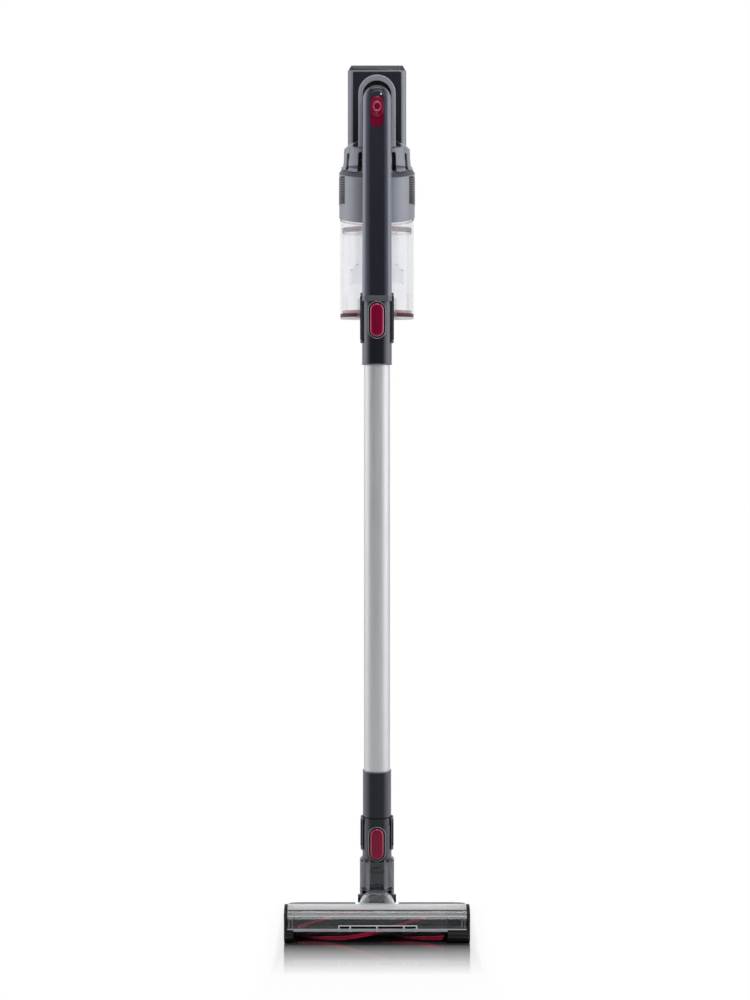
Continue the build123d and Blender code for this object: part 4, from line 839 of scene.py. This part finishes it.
# This bead's white is a painted highlight along the window.
window_line("window_bead", "white_bead_and_highlight", 36.0, 0.6, 0.4)
window_line("window_seam", "black_plastic", 57.0, 0.35, 0.15)

# Black patches of painted shade at the front of the dome's top, beside the arch, with a rim in the ring's
# colour
DOME_EDGE_R, DOME_EDGE_Z = 44.9, 1053.5
SHADE_PATCH = ((1.0, -0.3), (1.0, 0.7), (0.93, 0.8), (0.86, 0.55), (0.6, 0.5), (0.3, 0.5), (0.02, 0.5))


def dome_point(swing, along, lift):
    """Point on the dome's rounded top edge; along runs from the wall (0) over the rounding (1)."""
    r = DOME_EDGE_R - 6.0 * along + lift * (1 - 0.3 * along)
    z = DOME_EDGE_Z + 6.5 * along + lift * (0.3 + 0.7 * along)
    return (r * math.sin(swing), BIN_Y - r * math.cos(swing), z)


for side, name in SIDES:
    shade_patch = Form()
    rings = []
    for size, lift in SHADE_PATCH:
        ring = []
        for k in range(32):
            a = 2 * math.pi * k / 32
            swing = side * math.radians(38.5 + 12.5 * size * math.cos(a))
            ring.append(dome_point(swing, 0.5 + 0.62 * size * math.sin(a), lift))
        rings.append(ring)
    # The inner bands and the middle are black: painted shade.
    shade_patch.loft(rings, [1, 1, 1, 0, 0, 0])
    shade_patch.make("dome_shade_patch_" + name, "upper", ["black_and_painted_shade", "ring"], angle=45)

# Pale rail over the comb, the dark slots between its posts, and the upright ribs near the window's ends
window_line("comb_rail", "white_bead_and_highlight", 7.6, 0.6, 0.5, -50.5, 52.5)
COMB_SLOTS = (("a", -48.5, -36.5), ("b", -33.5, -1.6), ("c", 1.6, 33.5), ("d", 36.5, 50.5))
for name, left, right in COMB_SLOTS:
    window_line("comb_slot_" + name, "black_and_painted_shade", 2.6, 1.15, 0.3, left, right)


def window_rib(name, material, x, low, high, half, proud):
    """Upright bead on the head's window, between two angles over the brush axis."""
    form = Form()
    rings = []
    for k in range(13):
        a = math.radians(low + (high - low) * k / 12)
        ring = []
        for across, out in BEAD:
            r = WINDOW_R + out * proud
            ring.append((x + across * half, BRUSH_Y - r * math.cos(a), BRUSH_Z + r * math.sin(a)))
        rings.append(ring)
    form.loft(rings)
    form.make(name, "floor_head", [material], angle=60)


OUTER_RIB, INNER_RIB = 114.6, 110.6
WINDOW_RIBS = (("left_outer", -OUTER_RIB), ("left_inner", -INNER_RIB))
WINDOW_RIBS += (("right_inner", INNER_RIB), ("right_outer", OUTER_RIB))
COMB_POSTS = (("a", -49.7), ("b", -35.0), ("c", 0.0), ("d", 35.0), ("e", 51.7))
for name, x in WINDOW_RIBS:
    window_rib("window_rib_" + name, "frosted", x, 1.0, 84.0, 0.5, 0.45)
for name, x in COMB_POSTS:
    window_rib("comb_post_" + name, "white_bead_and_highlight", x, -4.0, 8.0, 0.8, 0.5)

# Soft pads on the sides of both cuffs, with grip grooves and tapered ends
LOWER_PAD, UPPER_PAD = (108.8, 152.2), (785.8, 853.2)  # lowest and highest
PAD_HALF, PAD_PROUD, PAD_TAPER, GROOVE_STEP, GROOVE_DEPTH = 9.2, 2.75, 6.0, 4.5, 0.28


def cuff_pad(name, side, cuff_r, low, high):
    """Pad on one side of a cuff; its foot lies just inside the cuff's wall."""
    form = Form()
    rings = []
    steps = int((high - low) / 0.75)
    for i in range(steps + 1):
        z = low + (high - low) * i / steps
        taper = min(1.0, 0.25 + min(z - low, high - z) / PAD_TAPER)
        wave = max(0.0, math.cos(2 * math.pi * (z - low) / GROOVE_STEP))
        groove = GROOVE_DEPTH * wave**4 if taper == 1.0 else 0.0
        ring = []
        for k in range(13):
            y = PAD_HALF * math.sin(math.radians(-90 + 15 * k))
            edge = min(1.0, 0.4 + 0.3 * min(k, 12 - k))
            r = cuff_r + PAD_PROUD * taper * edge - groove
            ring.append((side * math.sqrt(r * r - y * y), y, z))
        foot_r = cuff_r - 0.3
        ring += [(side * math.sqrt(foot_r**2 - y * y), y, z) for y in (PAD_HALF, 0, -PAD_HALF)]
        rings.append(ring)
    form.loft(rings)
    form.make(name, "upper", ["black_and_painted_shade"], angle=50)


for side, name in SIDES:
    cuff_pad("lower_pad_" + name, side, LOWER_CUFF_R, *LOWER_PAD)
    cuff_pad("upper_pad_" + name, side, UPPER_CUFF_R, *UPPER_PAD)

# Pale rims where the tube enters its sleeves, the dark seam under the lower one, and the neck's gasket
TUBE_WAY, RIM_HEIGHT = 17.7, 1.4
for name, low, outer in (("sleeve_rim", 212.8, 19.15), ("cuff_rim", 756.8, 20.15)):
    high = low + RIM_HEIGHT
    section = [(TUBE_WAY, low), (outer - 0.2, low), (outer, low + 0.3)]
    section += [(outer, high - 0.3), (outer - 0.2, high), (TUBE_WAY, high)]
    rim = Form()
    rim.turn(section, about_wand, 72)
    rim.make(name, "upper", ["trim"], angle=50)
section = [(18.8, 152.05), (19.3, 152.05), (19.4, 152.3), (19.4, 153.0), (19.3, 153.2), (18.8, 153.2)]
seam = Form()
seam.turn(section, about_wand, 72)
seam.make("sleeve_seam", "upper", ["black_and_painted_shade"], angle=50)
section = [(12.2, 80.0), (12.6, 79.6), (14.2, 79.6), (14.2, 81.6), (12.6, 81.6), (12.2, 81.2)]
gasket = Form()
gasket.turn(section, about_wand, 48)
gasket.make("neck_gasket", "upper", ["black_rubber"], angle=50)

# Finger ridges: rounded bars across the rear of the door catch
RIDGE_PLACES, RIDGE_DEPTH, RIDGE_HALF_HEIGHT, RIDGE_INSET = (0.45, 0.6, 0.75), 0.7, 0.8, 1.6
(left, _, low), (right, rear, high) = corners_of("door_latch")
middle = (left + right) / 2
half = (right - left) / 2 - RIDGE_INSET
foot = rear - 0.1
swell = [(-half, 0.3), (-half + 0.5, 0.85), (-half + 1, 1.0)]
swell += [(-x, size) for x, size in reversed(swell)]
corners = [math.pi * k / 8 for k in range(9)]
catch = Form()
for share in RIDGE_PLACES:
    z = low + (high - low) * share
    rings = []
    for x, size in swell:
        deep, tall = RIDGE_DEPTH * size, RIDGE_HALF_HEIGHT * size
        rings.append([(middle + x, foot + deep * math.sin(c), z + tall * math.cos(c)) for c in corners])
    catch.loft(rings)
catch.make("door_catch_ridges", "door_latch", ["red_gloss"], angle=60)

# Raised covers on the sloping rear deck of the head


def deck_height(x, y):
    """Height of the head's shell under a point, in millimetres."""
    hit, place, _, _ = nodes["head_base"].ray_cast(Vector((x * MM, y * MM, 0.2)), Vector((0, 0, -1)))
    return place.z / MM if hit else 0.0


DECK_CORNERS, DECK_CORNER_R = ((100, 78), (46, 78), (46, 2), (100, 2)), 8
section = [(0, -0.3), (0, 0.3), (-0.4, 0.6), (-1.0, 0.7), (-4.0, 0.7)]
section += [(-4.3, 0.45), (-4.8, 0.45), (-5.1, 0.7)]
for side, name in SIDES:
    cover = Form()
    rings = []
    for grow, lift in section:
        ring = []
        for corner, (cx, cy) in enumerate(DECK_CORNERS):
            for k in range(7):
                a = math.radians(90 * corner + 15 * k)
                x = side * (cx + (DECK_CORNER_R + grow) * math.cos(a))
                y = cy + (DECK_CORNER_R + grow) * math.sin(a)
                ring.append((x, y, deck_height(x, y) + lift))
        rings.append(ring)
    cover.loft(rings)
    cover.make("deck_cover_" + name, "floor_head", ["head_shell"], angle=30)

# Rounded heads of the dome's vents, and the flared feet of the columns between them
DOME_FOOT_R, DOME_FOOT_Z, DOME_TAPER, DOME_WALL = 46.7, 1028.0, 16, 2.3


def dome_wall(z):
    """Outer radius of the dome at a height."""
    return DOME_FOOT_R - (z - DOME_FOOT_Z) / DOME_TAPER


VENTS, VENT_R = 12, 45
VENT_STEP = 360 / VENTS
HEAD_HALF, HEAD_ARC_R, HEAD_ARC_Z, HEAD_TOP = 3.4, 3.25, 1043.0, 1054.2
foot_profile = [(46.0, 1027.6), (49.6, 1027.8), (49.3, 1028.2), (48.1, 1028.8)]
foot_profile += [(47.3, 1029.9), (46.75, 1031.4), (46.35, 1034.0), (46.0, 1034.0)]
heads = Form()
feet = Form()
for k in range(VENTS):
    middle = math.radians(VENT_STEP * k)
    rings = []
    for i in range(13):
        across = -HEAD_HALF + 2 * HEAD_HALF * i / 12
        low = HEAD_ARC_Z + math.sqrt(max(0.0, HEAD_ARC_R**2 - across**2))
        heights = [low + (HEAD_TOP - low) * j / 4 for j in range(5)]
        a = middle + across / VENT_R
        ring = [about_bin(dome_wall(z) - 0.03, z, a) for z in heights]
        ring += [about_bin(dome_wall(z) - DOME_WALL, z, a) for z in reversed(heights)]
        rings.append(ring)
    heads.loft(rings)
    feet.turn(foot_profile, slanted, 12, first=VENT_STEP * k + 4.2, last=VENT_STEP * k + 25.8)
heads.make("vent_heads", "upper", ["dome"], angle=40)
feet.make("column_feet", "upper", ["dome"], angle=40)

# Seams on both sides of the battery pack
SEAM_Y = 147.0
section = ((-0.5, -0.2), (-0.35, 0.1), (0.35, 0.1), (0.5, -0.2))
seam = Form()
for side, _ in SIDES:
    rings = []
    for z, size in ((1050.4, 0.3), (1051.0, 1.0), (1169.0, 1.0), (1169.6, 0.3)):
        rings.append([(side * (BLOCK_HALF + out * size), SEAM_Y + along * size, z) for along, out in section])
    seam.loft(rings)
seam.make("battery_seam", "upper", ["black_and_painted_shade"], angle=40)

# Washers between the swivel's drum and the arms of the neck
PIVOT_Z = sum(corner[2] for corner in corners_of("pivot_pins")) / 2
section = [(4.3, 19.05), (16.4, 19.05), (16.6, 19.12), (16.6, 19.28), (16.4, 19.35), (4.3, 19.35)]
for side, name in SIDES:
    washer = Form()
    washer.turn([(r, side * h) for r, h in section], about_cross(0.0, PIVOT_Z), 48)
    washer.make("pivot_washer_" + name, "elbow", ["black_and_painted_shade"], angle=40)


# Stage, in metres: pale floor, soft light, plain white surroundings
FLOOR_HALF = 12.0
BASE_HALF, BASE_FRONT, BASE_REAR = 0.121, -0.074, 0.095
FASTER_BESIDE = 10.0  # the gloss ends sooner beside and behind the head than ahead of it
MIRROR_REACH = 0.125
floor_mesh = bpy.data.meshes.new("floor")
corners = [(x * FLOOR_HALF, y * FLOOR_HALF, 0) for x, y in ((-1, -1), (1, -1), (1, 1), (-1, 1))]
floor_mesh.from_pydata(corners, [], [(0, 1, 2, 3)])
floor = bpy.data.objects.new("floor", floor_mesh)
bpy.context.scene.collection.objects.link(floor)


def floor_material():
    """White floor: glossy near the object, plain white to the camera further away."""
    shader = Shader("floor")
    shader.set(Base_Color=(0.93, 0.93, 0.935), Roughness=0.6)
    across = shader.math("SUBTRACT", shader.aside(), BASE_HALF)
    ahead = shader.math("SUBTRACT", BASE_FRONT, shader.axis("Y"))
    back = shader.math("SUBTRACT", shader.axis("Y"), BASE_REAR)
    beside = shader.math("MULTIPLY", shader.math("MAXIMUM", across, back), FASTER_BESIDE)
    away = shader.math("MAXIMUM", ahead, beside)
    path = shader.add("ShaderNodeLightPath")
    uncovered = shader.spread(away, 0, 1, -0.006, 0.002)
    bright = shader.math("MINIMUM", shader.spread(away, 0.84, 1, 0, 0.3), uncovered)
    seen = shader.math("MULTIPLY", bright, path.outputs["Is Camera Ray"])
    white = shader.add("ShaderNodeEmission")
    white.inputs["Color"].default_value = (1, 1, 1, 1)
    mix = shader.add("ShaderNodeMixShader")
    shader.link(seen, mix.inputs[0])
    shader.link(shader.principled.outputs[0], mix.inputs[1])
    shader.link(white.outputs[0], mix.inputs[2])
    mirror = shader.add("ShaderNodeBsdfGlossy")
    mirror.inputs["Roughness"].default_value = 0.12
    polish = shader.add("ShaderNodeMixShader")
    shader.link(shader.spread(away, 0.9, 0.0, 0.0, MIRROR_REACH), polish.inputs[0])
    shader.link(mix.outputs[0], polish.inputs[1])
    shader.link(mirror.outputs[0], polish.inputs[2])
    shader.link(polish.outputs[0], shader.output.inputs["Surface"])
    return shader.material


floor_mesh.materials.append(floor_material())

FRONT_START, FRONT_END, FRONT_LEVEL = -0.85, 0.35, 0.18
DIFFUSE_LEVEL, GLOSSY_LEVEL = 0.58, 0.95


def studio_world():
    """White as seen directly or through clear plastic; softer, with a dim front, as light and reflection."""
    world = bpy.data.worlds.new("studio")
    world.use_nodes = True
    tree = world.node_tree
    tree.nodes.clear()
    link = tree.links.new

    def add(kind, **inputs):
        node = tree.nodes.new(kind)
        for name, value in inputs.items():
            node.inputs[name.replace("_", " ")].default_value = value
        return node

    path = add("ShaderNodeLightPath")
    split = add("ShaderNodeSeparateXYZ")
    link(add("ShaderNodeTexCoord").outputs["Generated"], split.inputs[0])
    front = add("ShaderNodeMapRange", From_Min=FRONT_START, From_Max=FRONT_END, To_Min=FRONT_LEVEL)
    front.interpolation_type = "SMOOTHSTEP"
    link(split.outputs["Y"], front.inputs["Value"])
    shade = add("ShaderNodeMapRange", To_Min=DIFFUSE_LEVEL, To_Max=GLOSSY_LEVEL)
    link(path.outputs["Is Glossy Ray"], shade.inputs["Value"])
    lit = add("ShaderNodeMath")
    lit.operation = "MULTIPLY"
    link(front.outputs[0], lit.inputs[0])
    link(shade.outputs[0], lit.inputs[1])
    room = add("ShaderNodeBackground", Color=(1, 1, 1, 1))
    link(lit.outputs[0], room.inputs["Strength"])
    plain = add("ShaderNodeBackground", Color=(1, 1, 1, 1))
    direct = add("ShaderNodeMath")
    direct.operation = "MAXIMUM"
    link(path.outputs["Is Camera Ray"], direct.inputs[0])
    link(path.outputs["Is Transmission Ray"], direct.inputs[1])
    mix = add("ShaderNodeMixShader")
    link(direct.outputs[0], mix.inputs[0])
    link(room.outputs[0], mix.inputs[1])
    link(plain.outputs[0], mix.inputs[2])
    link(mix.outputs[0], add("ShaderNodeOutputWorld").inputs["Surface"])
    return world


bpy.context.scene.world = studio_world()


def softbox(name, place, target, width, height, watts):
    """Rectangular lamp aimed at a point."""
    lamp = bpy.data.lights.new(name, "AREA")
    lamp.shape = "RECTANGLE"
    lamp.size = width
    lamp.size_y = height
    lamp.energy = watts
    holder = bpy.data.objects.new(name, lamp)
    holder.location = place
    holder.rotation_euler = (Vector(target) - Vector(place)).to_track_quat("-Z", "Y").to_euler()
    holder.visible_transmission = False
    bpy.context.scene.collection.objects.link(holder)


softbox("left", (-2.2, 0.4, 1.1), (0, 0, 0.7), 2.0, 2.4, 14)
softbox("right", (2.2, -0.3, 1.0), (0, 0, 0.7), 2.0, 2.4, 20)
softbox("front", (0.3, -2.2, 2.3), (0, 0, 0.8), 1.2, 0.8, 16)
softbox("top", (0, -0.3, 2.6), (0, 0, 0), 1.2, 0.6, 12)

camera_data = bpy.data.cameras.new("camera")
camera_data.lens = 69.85
camera_data.sensor_width = 36
camera_data.shift_x = -0.002
camera_data.shift_y = -0.125
camera = bpy.data.objects.new("camera", camera_data)
camera.location = (0, -2.6, 0.7432)
camera.rotation_euler = (math.pi / 2, 0, 0)
bpy.context.scene.collection.objects.link(camera)
bpy.context.scene.camera = camera
bpy.context.scene.view_settings.view_transform = "Standard"
